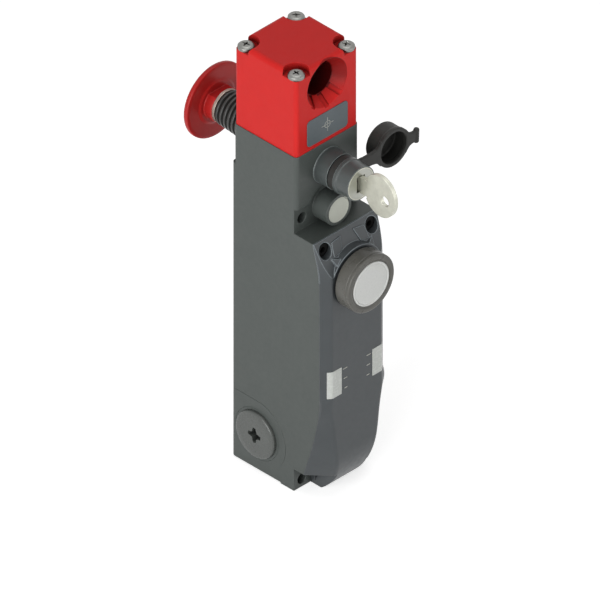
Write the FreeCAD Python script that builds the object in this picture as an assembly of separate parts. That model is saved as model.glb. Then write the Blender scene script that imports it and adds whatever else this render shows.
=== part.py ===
"""Guard-locking interlock switch: coded head with a round actuator funnel, key release,
push-button and rear escape knob.

Millimetres. +Z is up, the front looks along -Y and the rear mounting face is the plane Y = 0.
The origin is the middle of the four mounting holes on that rear face.
Heights are measured up from the bottom end (up), reaches forward from the body's front plane (out).
"""
import FreeCAD, Part
import math
import os

from FreeCAD import Vector

# ---- body ------------------------------------------------------------------------------
BODY_WIDTH = 40.0
UPPER_DEPTH = 40.0         # depth of the body behind the head
REAR_PAD = 1.3             # the lower rear stands this far behind the upper rear
BODY_HEIGHT = 184.0
BODY_CORNER = 2.0
BOTTOM_ROUND = 1.0
BODY_WALL = 5.0            # side walls of the wiring compartment
PARTITION_GAP = 1.0        # room over the contact block
REAR_WALL = 4.0
FLOOR_THICKNESS = 14.0
LEDGE_BELOW_TOP = 42.0     # the ledge is the top of the bulged lower half
LEDGE_HEIGHT = BODY_HEIGHT - LEDGE_BELOW_TOP
PAD_BELOW_TOP = 21.6
PAD_TOP = BODY_HEIGHT - PAD_BELOW_TOP

HOLE_RADIUS = 2.75
LOWER_HOLE_HEIGHT = 4.5
UPPER_HOLE_ABOVE_LEDGE = 6.5
UPPER_HOLE_HEIGHT = LEDGE_HEIGHT + UPPER_HOLE_ABOVE_LEDGE
HOLE_FROM_SIDE = 5.0
HOLE_SPACING_X = BODY_WIDTH - 2 * HOLE_FROM_SIDE
HOLE_SPACING_Z = UPPER_HOLE_HEIGHT - LOWER_HOLE_HEIGHT
POCKET_DEPTH = 1.5
POCKET_ABOVE_HOLE = 6.5
UPPER_POCKET_TOP = UPPER_HOLE_HEIGHT + POCKET_ABOVE_HOLE
LOWER_POCKET_TOP = 12.0

# ---- seam and flanks of the cover: height, reach of the seam, half width of the front --
FOOT_STATIONS = [
    (0.0, 1.5, 9.4),
    (6.0, 3.2, 9.8),
    (12.0, 5.0, 10.4),
    (18.9, 7.2, 11.6),
    (26.0, 9.5, 12.9),
    (35.0, 11.9, 14.0),
    (45.0, 14.1, 15.3),
    (58.0, 15.2, 15.8),
]
SHOULDER_BELOW_LEDGE = [
    (32.0, 15.2, 15.8),
    (20.0, 15.0, 15.8),
    (12.0, 14.0, 15.9),
    (5.0, 12.2, 16.1),
    (0.0, 11.0, 16.2),
]
SHOULDER_STATIONS = [(LEDGE_HEIGHT - below, reach, half) for below, reach, half in SHOULDER_BELOW_LEDGE]
COVER_REACH = 18.7
COVER_WALL = 2.6
COVER_EDGE_ROUND = 2.2
NOSE_ARC_RADIUS = 32.0
NOSE_ARC_HEIGHT = 26.0     # where the curved foot runs into the flat front
SLOPE_BELOW_LEDGE = 17.0   # where the flat front breaks into the slope up to the ledge
SLOPE_FOOT = LEDGE_HEIGHT - SLOPE_BELOW_LEDGE
SLOPE_TOP_REACH = 11.0
SEAM_SETBACK = 0.6         # the seam lies this far behind the flank's rear edge
GASKET_THICKNESS = 1.2
GASKET_WIDTH = 1.6
GASKET_INSET = 2.2         # from the side faces to the gasket
NOSE_HALF_WIDTH = 9.4
PRY_SLOT_FROM = 1.7
PRY_SLOT_TO = 8.2
PRY_SLOT_HEIGHT = 1.6
PRY_SLOT_DEPTH = 2.5
# facet from the shoulder to the button's boss: distance to the side, below the ledge, proud
GUSSET_CORNERS = [(13.2, 9.0, 0.2), (8.8, 10.1, 2.2), (11.8, 12.6, 1.4)]

# ---- cover screws ----------------------------------------------------------------------
COVER_SCREW_FROM_SIDE = 5.2
COVER_SCREW_X = BODY_WIDTH / 2 - COVER_SCREW_FROM_SIDE
COVER_SCREW_BELOW_LEDGE = 5.0
COVER_SCREW_HEIGHT = LEDGE_HEIGHT - COVER_SCREW_BELOW_LEDGE
COVER_SCREW_WELL_RADIUS = 3.7
COVER_SCREW_WELL_WALL = 0.7
COVER_SCREW_SEAT_REACH = 6.0
COVER_SCREW_SEAT_THICKNESS = 2.0
COVER_SCREW_HEAD_RADIUS = 3.4
COVER_SCREW_HEAD_LENGTH = 3.6
COVER_SCREW_SHANK_RADIUS = 1.9
COVER_SCREW_LENGTH = 16.0
HEX_SOCKET_SIZE = 3.0
HEX_SOCKET_DEPTH = 2.0

# ---- head ------------------------------------------------------------------------------
HEAD_INSET = 0.3           # the head's sides stand this far inside the body's
HEAD_WIDTH = BODY_WIDTH - 2 * HEAD_INSET
HEAD_DEPTH = UPPER_DEPTH - 2 * HEAD_INSET
HEAD_HEIGHT = 45.0
HEAD_TOP_ROUND = 2.5
HEAD_GASKET_THICKNESS = 0.8
HEAD_GASKET_INSET = 0.7
BORE_DROP = 13.0           # bore axis below the top of the head
BORE_RADIUS = 8.4
FUNNEL_RADIUS = 12.6
FUNNEL_DEPTH = 5.6
DRAIN_WIDTH = 2.8
DRAIN_OVERRUN = 1.0        # the grooves run this far past the mouth
DRAIN_ANGLES = [228.0, 270.0, 312.0]
HEAD_SCREW_FROM_SIDE = 3.7
HEAD_SCREW_X = HEAD_WIDTH / 2 - HEAD_SCREW_FROM_SIDE
HEAD_SCREW_Y = HEAD_DEPTH / 2 - HEAD_SCREW_FROM_SIDE
HEAD_SCREW_HEAD_RADIUS = 3.95
HEAD_SCREW_HEAD_HEIGHT = 2.4
HEAD_SCREW_SHANK_RADIUS = 1.9
HEAD_SCREW_GRIP = 12.0     # thread length inside the body
SCREW_CROSS_ARM = 2.2
SCREW_CROSS_WIDTH = 0.9
SCREW_CROSS_DEPTH = 1.2
HEAD_SCREW_EDGE = 0.7
CORNER_POCKET_RADIUS = 6.2
CORNER_POCKET_DEPTH = 3.5
PLATE_WIDTH = 25.7
PLATE_HEIGHT = 14.1
PLATE_CORNER = 2.0
PLATE_THICKNESS = 1.0
PLATE_PROUD = 0.3
PLATE_ABOVE_BODY = 9.4
PLATE_HEIGHT_CENTRE = BODY_HEIGHT + PLATE_ABOVE_BODY
MARK_RING_RADIUS = 1.75
MARK_ARM = 3.8
MARK_LINE = 0.35
MARK_DEPTH = 0.2

# ---- locking bolt, slider and solenoid -------------------------------------------------
BOLT_BEHIND_MIDDLE = 2.0   # bolt axis behind the middle of the head
BOLT_RADIUS = 3.5
BOLT_TRAVEL = 6.0
BOLT_BELOW_BORE = 0.5
BUSH_RADIUS = 5.6
BUSH_LENGTH = 14.0
CHAMBER_HALF_WIDTH = 10.0
CHAMBER_FRONT_WALL = 10.0
CHAMBER_REAR_WALL = 6.5
CHAMBER_BELOW_SLIDER = 3.0
SLIDER_HALF_WIDTH = 7.0
SLIDER_FRONT = 6.0         # front and rear faces of the slider from the bolt axis
SLIDER_REAR = 5.4
SLIDER_LENGTH = 17.7
SLIDER_RAMP = 3.0
SHELF_THICKNESS = 4.7
ROD_RADIUS = 2.5
PLUNGER_RADIUS = 5.0
PLUNGER_LENGTH = 34.0
PLUNGER_STOP_GAP = 2.0
PLUNGER_HEADROOM = BOLT_TRAVEL + PLUNGER_STOP_GAP    # plunger to the partition above it, at rest
PLUNGER_SPRING_RADIUS = 3.7
SPRING_WIRE = 0.7
COIL_RADIUS = 10.4
COIL_LENGTH = 30.0
COIL_HEADROOM = 18.0
YOKE_WALL = 2.0
YOKE_HALF_WIDTH = 12.5
YOKE_RAIL_WIDTH = 3.0
SLIDING_GAP = 0.3
RUNNING_GAP = 0.06

# ---- key release -----------------------------------------------------------------------
LOCK_BELOW_TOP = 13.0
LOCK_HEIGHT = BODY_HEIGHT - LOCK_BELOW_TOP
LOCK_BASE_RADIUS = 9.0
LOCK_BASE_REACH = 8.1
STRAP_GROOVE_RADIUS = 7.0
STRAP_GROOVE_END = 11.9
LOCK_LIP_REACH = 13.7
LOCK_NOSE_RADIUS = 8.5
LOCK_NOSE_REACH = 21.2
LOCK_SHANK_RADIUS = 8.0
LOCK_EDGE_ROUND = 0.6
BARREL_FACE_RADIUS = 7.7
BARREL_FACE_THICKNESS = 1.6
BARREL_RADIUS = 6.0
CAM_HUB_RADIUS = 2.9       # clears the slider's shelf when the bolt is up
CAM_LOBE_RADIUS = 9.0
CAM_HALF_THICKNESS = 2.5
CAM_LENGTH = 4.0
KEY_THICKNESS = 2.0
KEY_BLADE_HEIGHT = 8.0
KEY_BLADE_LENGTH = 20.0
KEY_NECK_HEIGHT = 8.8
KEY_BOW_REACH = 34.5
KEY_BOW_HALF_LENGTH = 9.3
KEY_BOW_HALF_HEIGHT = 11.0
KEY_HOLE_RADIUS = 2.7
KEY_HOLE_REACH = 37.3
KEY_HOLE_DROP = 1.4
KEY_SLOT_GAP = 0.2
KEYWAY_MOUTH_HALF_WIDTH = 2.6
KEYWAY_MOUTH_DEPTH = 1.1

# ---- dust cap --------------------------------------------------------------------------
CAP_DISTANCE = 31.7        # lock axis to cap axis when open
CAP_DROOP = 2.4            # degrees
CAP_OUTER_RADIUS = 9.65
CAP_INNER_RADIUS = 8.6
CAP_LIP_RADIUS = 8.0
CAP_DEPTH = 8.5
CAP_FLOOR = 1.4
CAP_LIP_WIDTH = 1.2
STRAP_WIDTH = 6.5
STRAP_THICKNESS = 1.6
STRAP_RING_RADIUS = 8.7
STRAP_GAP = 0.3
STRAP_RING_GAP = 0.1       # each side of the ring in its groove
STRAP_BEAD_RADIUS = 1.1    # bead on the line where the strap folds
CAP_BACK_ROUND = 1.2
TAB_BEAD_RADIUS = 1.4
TAB_END = 48.0
TAB_WIDTH = 6.8

# ---- small sealed release --------------------------------------------------------------
RELEASE_X = -0.4
RELEASE_ABOVE_LEDGE = 8.0
RELEASE_HEIGHT = LEDGE_HEIGHT + RELEASE_ABOVE_LEDGE
RELEASE_BOSS_RADIUS = 7.9
RELEASE_BOSS_REACH = 7.6
RELEASE_RECESS_RADIUS = 12.0
RELEASE_PLUG_RADIUS = 6.45
RELEASE_PLUG_THICKNESS = 2.0
RELEASE_SCREW_HEAD_RADIUS = 4.0
RELEASE_SCREW_HEAD_LENGTH = 2.4
RELEASE_SCREW_LENGTH = 12.0
RELEASE_TAB_WIDTH = 2.6
RELEASE_TAB_REACH = 7.2

# ---- push-button -----------------------------------------------------------------------
BUTTON_BELOW_LEDGE = 23.0
BUTTON_HEIGHT = LEDGE_HEIGHT - BUTTON_BELOW_LEDGE
BUTTON_BOSS_RADIUS = 15.8
BUTTON_HOLE_RADIUS = 11.15
BEZEL_RADIUS = 14.75
BEZEL_REACH = 28.0
BEZEL_ROUND = 1.5
BEZEL_GROOVE = 26.0
BEZEL_GROOVE_DEPTH = 0.25
BEZEL_BARREL_RADIUS = 11.0
BEZEL_BARREL_END = 7.0
BEZEL_SEAL_THICKNESS = 0.8
BEZEL_SEAL_RADIUS = 13.55
LENS_RADIUS = 11.25
LENS_REACH = 28.1
LENS_THICKNESS = 4.2
LENS_TRAVEL = 3.5
LENS_EDGE = 0.4
STEM_RADIUS = 8.0
STEM_WALL = 2.4
STEM_END = 5.0
NUT_RADIUS = 14.0          # to the corners
NUT_THICKNESS = 2.4
CONTACT_HALF_WIDTH = 11.0
CONTACT_HEIGHT = 21.2
CONTACT_FRONT_REACH = 1.2
CONTACT_DEPTH = 9.7
CONTACT_EAR = 3.0
BUTTON_SPRING_WIRE = 0.8
BUTTON_SPRING_RADIUS = 4.6

# ---- light guides ----------------------------------------------------------------------
GUIDE_BOTTOM = 58.8
GUIDE_TOP = 73.4
GUIDE_FRONT_WIDTH = 6.0
GUIDE_SIDE_REACH = 1.5     # how far the guide runs back along the flank
GUIDE_PROUD = 0.15

# ---- conduit entries -------------------------------------------------------------------
ENTRY_BEHIND_MIDDLE = 5.0  # side entries behind the middle of the upper body
ENTRY_HEIGHT = 19.8
ENTRY_RADIUS = 9.19
ENTRY_RECESS_RADIUS = 13.5
ENTRY_RECESS_DEPTH = 1.5
PAD_LINE_RADIUS = 18.4     # fine line round each side entry
PAD_LINE_WIDTH = 0.3
PAD_LINE_DEPTH = 0.15
PLUG_HEAD_RADIUS = 12.0
PLUG_HEAD_THICKNESS = 1.4
PLUG_EDGE_ROUND = 0.7
PLUG_CROSS_ARM = 3.75
PLUG_CROSS_WIDTH = 1.5
PLUG_CROSS_DEPTH = 1.3
SEAL_RADIUS = 10.3
SEAL_THICKNESS = 0.5

# ---- escape release --------------------------------------------------------------------
ESCAPE_TRAVEL = 8.0
SHAFT_RADIUS = 4.0
ESCAPE_BUSH_RADIUS = 7.0
FORK_HALF_WIDTH = 6.5
FORK_HALF_HEIGHT = 4.0
FORK_LENGTH = 5.0
FORK_GAP = 0.2             # fork tip to the slider's rear, at rest
FORK_WEDGE = 2.5
BELLOWS_LENGTH = 24.0
BELLOWS_BASE_RADIUS = 10.2
BELLOWS_END_RADIUS = 8.6
BELLOWS_RIBS = 9
BELLOWS_RIB_DEPTH = 1.5
BELLOWS_WALL = 1.1
BELLOWS_GAP = 0.8          # round the bellows' foot where it sinks into the pad
WASHER_RADIUS = 8.5
WASHER_THICKNESS = 1.5
HUB_RADIUS = 8.7
HUB_FLAT = 6.6
HUB_LENGTH = 4.7
KNOB_RADIUS = 19.1
KNOB_THICKNESS = 4.0
KNOB_EDGE_ROUND = 1.6
KNOB_SCREW_HEAD_RADIUS = 3.6
KNOB_SCREW_RADIUS = 1.9
KNOB_SCREW_HEAD_LENGTH = 2.0
KNOB_SCREW_SUNK = 0.4

# ---- electronics -----------------------------------------------------------------------
BOARD_THICKNESS = 1.6
MAIN_BOARD_HALF_WIDTH = 13.0
MAIN_BOARD_BOTTOM = 36.0
BOARD_HEADROOM = 2.0
STANDOFF = 4.0
STANDOFF_RADIUS = 2.0
TERMINAL_POLES = 6
TERMINAL_PITCH = 3.8
TERMINAL_DEPTH = 9.0
TERMINAL_HEIGHT = 8.0
TERMINAL_ABOVE_EDGE = 3.0
LAMP_BOARD_REACH = 11.0
LAMP_BOARD_BOTTOM = 56.0
LAMP_BOARD_TOP = 76.0
LAMP_BOARD_HALF_WIDTH = 12.0
LAMP_POST_RADIUS = 1.6
LAMP_POST_INSET = 2.0
ANTENNA_BOARD_HEIGHT = 16.0
ANTENNA_BOARD_WIDTH = 22.0
ANTENNA_SETBACK = 3.0       # front wall in front of the coil
ANTENNA_COIL_RADIUS = 7.0
ANTENNA_COIL_SECTION = 1.6

# ---- places worked out from the sizes above --------------------------------------------
FLOOR_Z = -(LOWER_HOLE_HEIGHT + HOLE_SPACING_Z / 2)
UPPER_REAR_Y = -REAR_PAD
FRONT_Y = UPPER_REAR_Y - UPPER_DEPTH
HALF_WIDTH = BODY_WIDTH / 2
X_AXIS = Vector(1, 0, 0)
Y_AXIS = Vector(0, 1, 0)
Z_AXIS = Vector(0, 0, 1)


def up(height):
    """Z of a height above the bottom end."""
    return FLOOR_Z + height


def out(reach):
    """Y of a point that stands this far in front of the body's front plane."""
    return FRONT_Y - reach


HEAD_BASE = BODY_HEIGHT + HEAD_GASKET_THICKNESS
HEAD_TOP = BODY_HEIGHT + HEAD_HEIGHT
HEAD_MID_Y = FRONT_Y + UPPER_DEPTH / 2
HEAD_FRONT_Y = HEAD_MID_Y - HEAD_DEPTH / 2
BORE_HEIGHT = HEAD_TOP - BORE_DROP
ENTRY_Y = HEAD_MID_Y + ENTRY_BEHIND_MIDDLE
COVER_CAVITY_HALF = HALF_WIDTH - BODY_WALL
COMPARTMENT_TOP = BUTTON_HEIGHT + CONTACT_HEIGHT / 2 + PARTITION_GAP

BOLT_Y = HEAD_MID_Y + BOLT_BEHIND_MIDDLE
CHAMBER_FRONT_Y = FRONT_Y + CHAMBER_FRONT_WALL
CHAMBER_REAR_Y = UPPER_REAR_Y - CHAMBER_REAR_WALL
SLIDER_FRONT_Y = BOLT_Y - SLIDER_FRONT
SLIDER_REAR_Y = BOLT_Y + SLIDER_REAR
CAM_SHELF_TOP = LOCK_HEIGHT - CAM_LOBE_RADIUS - SLIDING_GAP
SLIDER_TOP = LOCK_HEIGHT - FORK_HALF_HEIGHT - SLIDING_GAP
SLIDER_BOTTOM = SLIDER_TOP - SLIDER_LENGTH
CHAMBER_FLOOR = SLIDER_BOTTOM - CHAMBER_BELOW_SLIDER
FORK_TIP_Y = SLIDER_REAR_Y + FORK_GAP
FORK_ROOT_Y = FORK_TIP_Y + FORK_LENGTH
PLUNGER_TOP = COMPARTMENT_TOP - PLUNGER_HEADROOM
PLUNGER_LOW = PLUNGER_TOP - PLUNGER_LENGTH
COIL_TOP = COMPARTMENT_TOP - COIL_HEADROOM
COIL_BOTTOM = COIL_TOP - COIL_LENGTH
MAIN_BOARD_TOP = COIL_BOTTOM - YOKE_WALL - BOARD_HEADROOM
CONTACT_REAR_Y = FRONT_Y - CONTACT_FRONT_REACH + CONTACT_DEPTH
BELLOWS_END_Y = UPPER_REAR_Y + BELLOWS_LENGTH
KNOB_HUB_Y = BELLOWS_END_Y + WASHER_THICKNESS
KNOB_FACE_Y = KNOB_HUB_Y + HUB_LENGTH + KNOB_THICKNESS


# ---- small tools -----------------------------------------------------------------------
def block(x_range, y_range, z_range):
    """A box between three pairs of limits."""
    low = [min(pair) for pair in (x_range, y_range, z_range)]
    size = [abs(pair[1] - pair[0]) for pair in (x_range, y_range, z_range)]
    return Part.makeBox(size[0], size[1], size[2], Vector(*low))


def rod(radius, start, axis, length):
    return Part.makeCylinder(radius, length, start, axis)


def tube(outer, inner, start, axis, length):
    return rod(outer, start, axis, length).cut(rod(inner, start, axis, length))


def outline_face(points):
    return Part.Face(Part.makePolygon(points + points[:1]))


def turned(points, start, axis):
    """Revolve points, each a (distance along the axis, radius), about the axis through start."""
    side = X_AXIS if abs(axis.x) < 0.5 else Y_AXIS
    face = outline_face([start + axis * along + side * radius for along, radius in points])
    return face.revolve(start, axis, 360)


def turned_y(points, x, z):
    """Revolve (y, radius) points about the line along Y through x, z."""
    return turned(points, Vector(x, 0, z), Y_AXIS)


def turned_out(points, z):
    """Revolve (reach, radius) points about the line along Y at this height."""
    return turned_y([(out(reach), radius) for reach, radius in points], 0, up(z))


def eased(previous, corner, following, size):
    """Turn a profile's right-angled corner in two facets of a round of this size."""
    def toward(point):
        length = math.hypot(point[0] - corner[0], point[1] - corner[1])
        return [(point[i] - corner[i]) / length for i in (0, 1)]
    back, ahead = toward(previous), toward(following)
    inward = 1 - math.cos(math.pi / 4)
    return [tuple(corner[i] + back[i] * size for i in (0, 1)),
            tuple(corner[i] + (back[i] + ahead[i]) * size * inward for i in (0, 1)),
            tuple(corner[i] + ahead[i] * size for i in (0, 1))]


def joined(first, *others):
    shape = first
    for other in others:
        shape = shape.fuse(other)
    return shape.removeSplitter()


def cross_recess(arm, width, depth, centre, axis_name):
    """A cruciform cutter that goes depth deep on both sides of its centre plane."""
    half = width / 2
    x, y, z = centre
    reach = (x - depth, x + depth), (y - depth, y + depth), (z - depth, z + depth)
    if axis_name == "x":
        bars = [block(reach[0], (y - arm, y + arm), (z - half, z + half)),
                block(reach[0], (y - half, y + half), (z - arm, z + arm))]
    elif axis_name == "y":
        bars = [block((x - arm, x + arm), reach[1], (z - half, z + half)),
                block((x - half, x + half), reach[1], (z - arm, z + arm))]
    else:
        bars = [block((x - arm, x + arm), (y - half, y + half), reach[2]),
                block((x - half, x + half), (y - arm, y + arm), reach[2])]
    return bars[0].fuse(bars[1])


def hexagon_prism(across_flats, start, axis, length):
    """Hexagonal prism along Y or Z from a start point."""
    corner = across_flats / math.sqrt(3)
    points = []
    for step in range(6):
        angle = math.radians(60 * step)
        a, b = corner * math.cos(angle), corner * math.sin(angle)
        points.append(start + (Vector(a, 0, b) if axis == Y_AXIS or axis == -Y_AXIS else Vector(a, b, 0)))
    return outline_face(points).extrude(axis * length)


# ---- the seam surface and the bulged cover ---------------------------------------------
def seam_edges():
    """The seam in the side view: curved foot, straight middle and curved shoulder."""
    foot, shoulder = [[Vector(0, out(reach - SEAM_SETBACK), up(height)) for height, reach, _ in stations]
                      for stations in (FOOT_STATIONS, SHOULDER_STATIONS)]
    curves = []
    for points in (foot, shoulder):
        curve = Part.BSplineCurve()
        curve.interpolate(points)
        curves.append(curve.toShape())
    return [curves[0], Part.makeLine(foot[-1], shoulder[0]), curves[1]]


def seam_block(x_low, x_high):
    """Everything behind the seam between the bottom end and the ledge."""
    inner_y = FRONT_Y + 10
    bottom = Vector(0, inner_y, up(0))
    top = Vector(0, inner_y, up(LEDGE_HEIGHT))
    first = Vector(0, out(FOOT_STATIONS[0][1] - SEAM_SETBACK), up(0))
    last = Vector(0, out(SHOULDER_STATIONS[-1][1] - SEAM_SETBACK), up(LEDGE_HEIGHT))
    wire = Part.Wire([Part.makeLine(bottom, first)] + seam_edges()
                     + [Part.makeLine(last, top), Part.makeLine(top, bottom)])
    face = Part.Face(wire)
    face.translate(Vector(x_low, 0, 0))
    return face.extrude(Vector(x_high - x_low, 0, 0))


def front_reach(height):
    """Reach of the flat front, or of its curved foot lower down."""
    below = max(0.0, NOSE_ARC_HEIGHT - height)
    return COVER_REACH - NOSE_ARC_RADIUS + math.sqrt(NOSE_ARC_RADIUS ** 2 - below ** 2)


def flank_loft(stations, inset):
    """Loft the trapezoid sections that shape the cover's two flanks."""
    spread = 1.0
    wires = []
    for height, seam_reach, front_half in stations:
        depth = front_reach(height) - seam_reach
        slope = (HALF_WIDTH - front_half) / depth
        front_x = front_half - slope * spread - inset
        front_y = out(front_reach(height) + spread)
        side_x = HALF_WIDTH - inset
        z = up(height)
        points = [Vector(-side_x, FRONT_Y + 5, z), Vector(-side_x, out(seam_reach), z),
                  Vector(-front_x, front_y, z), Vector(front_x, front_y, z),
                  Vector(side_x, out(seam_reach), z), Vector(side_x, FRONT_Y + 5, z)]
        wires.append(Part.makePolygon(points + points[:1]))
    return Part.makeLoft(wires, True, False)


def front_profile(inset):
    """Side view of the cover's front: curved foot, flat front and the slope up to the ledge."""
    reach = COVER_REACH - inset
    radius = NOSE_ARC_RADIUS - inset
    arc_y = out(COVER_REACH - NOSE_ARC_RADIUS)
    foot_angle = math.asin(NOSE_ARC_HEIGHT / NOSE_ARC_RADIUS)
    centre_z = up(NOSE_ARC_HEIGHT)

    def on_arc(angle):
        return Vector(0, arc_y - radius * math.cos(angle), centre_z - radius * math.sin(angle))

    slope_drop = inset * math.tan(slope_angle() / 2)
    foot = on_arc(foot_angle)
    start = on_arc(0)
    knee = Vector(0, out(reach), up(SLOPE_FOOT - slope_drop))
    top = Vector(0, out(SLOPE_TOP_REACH - inset / math.cos(slope_angle())), up(LEDGE_HEIGHT))
    back_top = Vector(0, FRONT_Y + 5, up(LEDGE_HEIGHT))
    back_foot = Vector(0, FRONT_Y + 5, foot.z)
    wire = Part.Wire([
        Part.makeLine(back_foot, foot),
        Part.Arc(foot, on_arc(foot_angle / 2), start).toShape(),
        Part.makeLine(start, knee), Part.makeLine(knee, top),
        Part.makeLine(top, back_top), Part.makeLine(back_top, back_foot)])
    face = Part.Face(wire)
    face.translate(Vector(-BODY_WIDTH, 0, 0))
    return face.extrude(Vector(2 * BODY_WIDTH, 0, 0))


def slope_angle():
    """Angle of the sloping shoulder from the vertical."""
    return math.atan((COVER_REACH - SLOPE_TOP_REACH) / (LEDGE_HEIGHT - SLOPE_FOOT))


def cover_form(inset):
    """The cover's outer form, or its inner form when inset by the wall."""
    middle = [FOOT_STATIONS[-1], SHOULDER_STATIONS[0]]
    profile = front_profile(inset)
    parts = [flank_loft(stations, inset).common(profile)
             for stations in (FOOT_STATIONS, middle, SHOULDER_STATIONS)]
    return joined(*parts)


def outer_form(proud):
    """The outer form, this far proud, with the front's edges rounded down both flanks."""
    form = cover_form(-proud)
    front_edges = []
    for edge in form.Edges:
        middle = edge.valueAt((edge.FirstParameter + edge.LastParameter) / 2)
        height = middle.z - FLOOR_Z
        on_front = abs(middle.y - out(front_reach(height) + proud)) < 0.05
        if on_front and height < SLOPE_FOOT and edge.BoundBox.ZLength > 1:
            front_edges.append(edge)
    return form.makeFillet(COVER_EDGE_ROUND, front_edges)


# ---- body ------------------------------------------------------------------------------
def mounting_hole(x, height):
    return rod(HOLE_RADIUS, Vector(x, out(COVER_REACH), up(height)), Y_AXIS, COVER_REACH - FRONT_Y + 1)


def entry_centres():
    """Start, direction and wall of the three conduit entries: left, right and bottom."""
    side_wall = HALF_WIDTH - COVER_CAVITY_HALF
    return {
        "left": (Vector(-HALF_WIDTH, ENTRY_Y, up(ENTRY_HEIGHT)), X_AXIS, side_wall),
        "right": (Vector(HALF_WIDTH, ENTRY_Y, up(ENTRY_HEIGHT)), -X_AXIS, side_wall),
        "bottom": (Vector(0, ENTRY_Y, up(0)), Z_AXIS, FLOOR_THICKNESS),
    }


def rounded_column(rear_y, bottom, top):
    """Upright square length of the body with rounded corners."""
    shape = block((-HALF_WIDTH, HALF_WIDTH), (FRONT_Y, rear_y), (up(bottom), up(top)))
    return shape.makeFillet(BODY_CORNER, upright_edges(shape))


def upright_edges(shape):
    return [edge for edge in shape.Edges if edge.BoundBox.ZLength > 1
            and edge.BoundBox.XLength < 1e-6 and edge.BoundBox.YLength < 1e-6]


def column():
    """The upright column: its lower rear stands out as the mounting pad."""
    lower = rounded_column(0, 0, PAD_TOP)
    foot_edges = [edge for edge in lower.Edges if edge.BoundBox.ZMax < up(0) + 1e-6]
    lower = lower.makeFillet(BOTTOM_ROUND, foot_edges)
    return joined(lower, rounded_column(UPPER_REAR_Y, PAD_TOP - BODY_CORNER, BODY_HEIGHT))


def lower_pockets():
    """Flat seats for the heads of the two lower mounting screws."""
    z_range = (up(0) - 1, up(LOWER_POCKET_TOP))
    y_range = (out(COVER_REACH), FRONT_Y + POCKET_DEPTH)
    left = block((-HALF_WIDTH - 1, -NOSE_HALF_WIDTH), y_range, z_range)
    right = block((NOSE_HALF_WIDTH, HALF_WIDTH + 1), y_range, z_range)
    return left, right


def upper_pocket():
    """Seat of the two upper mounting screws and the round recess about the release boss."""
    seat = block((-HALF_WIDTH - 1, HALF_WIDTH + 1), (FRONT_Y - 1, FRONT_Y + POCKET_DEPTH),
                 (up(LEDGE_HEIGHT), up(UPPER_POCKET_TOP)))
    around = rod(RELEASE_RECESS_RADIUS, Vector(RELEASE_X, FRONT_Y - 1, up(RELEASE_HEIGHT)), Y_AXIS,
                 POCKET_DEPTH + 1)
    above_ledge = block((-HALF_WIDTH, HALF_WIDTH), (FRONT_Y - 1, 0), (up(LEDGE_HEIGHT), up(BODY_HEIGHT)))
    return seat.fuse(around.common(above_ledge))


def cover_screw_boss(radius):
    """The two round bosses of the cover that dip into the body round its screws."""
    start_y = out(COVER_SCREW_SEAT_REACH)
    z = up(COVER_SCREW_HEIGHT)
    left, right = [rod(radius, Vector(x, start_y, z), -Y_AXIS, COVER_REACH)
                   for x in (-COVER_SCREW_X, COVER_SCREW_X)]
    return left.fuse(right)


def gasket_frame():
    """Frame-shaped prism, looking along Y, that bounds the cover gasket."""
    outer_x = HALF_WIDTH - GASKET_INSET
    top = COVER_SCREW_HEIGHT - COVER_SCREW_WELL_RADIUS - COVER_SCREW_WELL_WALL - 0.3
    bottom = LOWER_POCKET_TOP + 0.3
    y_range = (out(COVER_REACH), 0)
    outer = block((-outer_x, outer_x), y_range, (up(bottom), up(top)))
    inner_x = outer_x - GASKET_WIDTH
    inner = block((-inner_x, inner_x), y_range, (up(bottom + GASKET_WIDTH), up(top - GASKET_WIDTH)))
    return outer.cut(inner)


def cover_gasket():
    """Rubber frame that lies in a groove of the body, level with the seam."""
    face = seam_block(-HALF_WIDTH, HALF_WIDTH)
    behind = face.copy()
    behind.translate(Vector(0, GASKET_THICKNESS, 0))
    return face.cut(behind).common(gasket_frame())


def chamber():
    """Mechanism space in the upper half of the body."""
    return block((-CHAMBER_HALF_WIDTH, CHAMBER_HALF_WIDTH), (CHAMBER_FRONT_Y, CHAMBER_REAR_Y),
                 (up(CHAMBER_FLOOR), up(BODY_HEIGHT)))


def body_housing():
    """Column with the bulged lower half, hollowed for the wiring and the mechanism."""
    shape = joined(column(), seam_block(-HALF_WIDTH, HALF_WIDTH))
    for cutter in body_recesses():
        shape = shape.cut(cutter)
    boss = rod(RELEASE_BOSS_RADIUS, Vector(RELEASE_X, FRONT_Y + POCKET_DEPTH, up(RELEASE_HEIGHT)), -Y_AXIS,
               RELEASE_BOSS_REACH + POCKET_DEPTH)
    shape = shape.fuse(boss).cut(chamber())
    for cutter in body_holes():
        shape = shape.cut(cutter)
    return joined(shape, *(board_pillars() + yoke_rails()))


def body_recesses():
    """Everything that is milled or cast into the outside and the wiring compartment."""
    foot = block((-HALF_WIDTH - 1, HALF_WIDTH + 1), (out(COVER_REACH), FRONT_Y + POCKET_DEPTH),
                 (up(0) - 1, up(LOWER_POCKET_TOP)))
    compartment = block((-COVER_CAVITY_HALF, COVER_CAVITY_HALF), (out(COVER_REACH), -REAR_WALL),
                        (up(FLOOR_THICKNESS), up(COMPARTMENT_TOP)))
    screw_bosses = cover_screw_boss(COVER_SCREW_WELL_RADIUS + COVER_SCREW_WELL_WALL)
    bellows_foot = rod(BELLOWS_BASE_RADIUS + BELLOWS_GAP, Vector(0, UPPER_REAR_Y, up(LOCK_HEIGHT)), Y_AXIS,
                       REAR_PAD + 1)
    return [foot, upper_pocket(), compartment, screw_bosses, cover_gasket(), bellows_foot]


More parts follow.
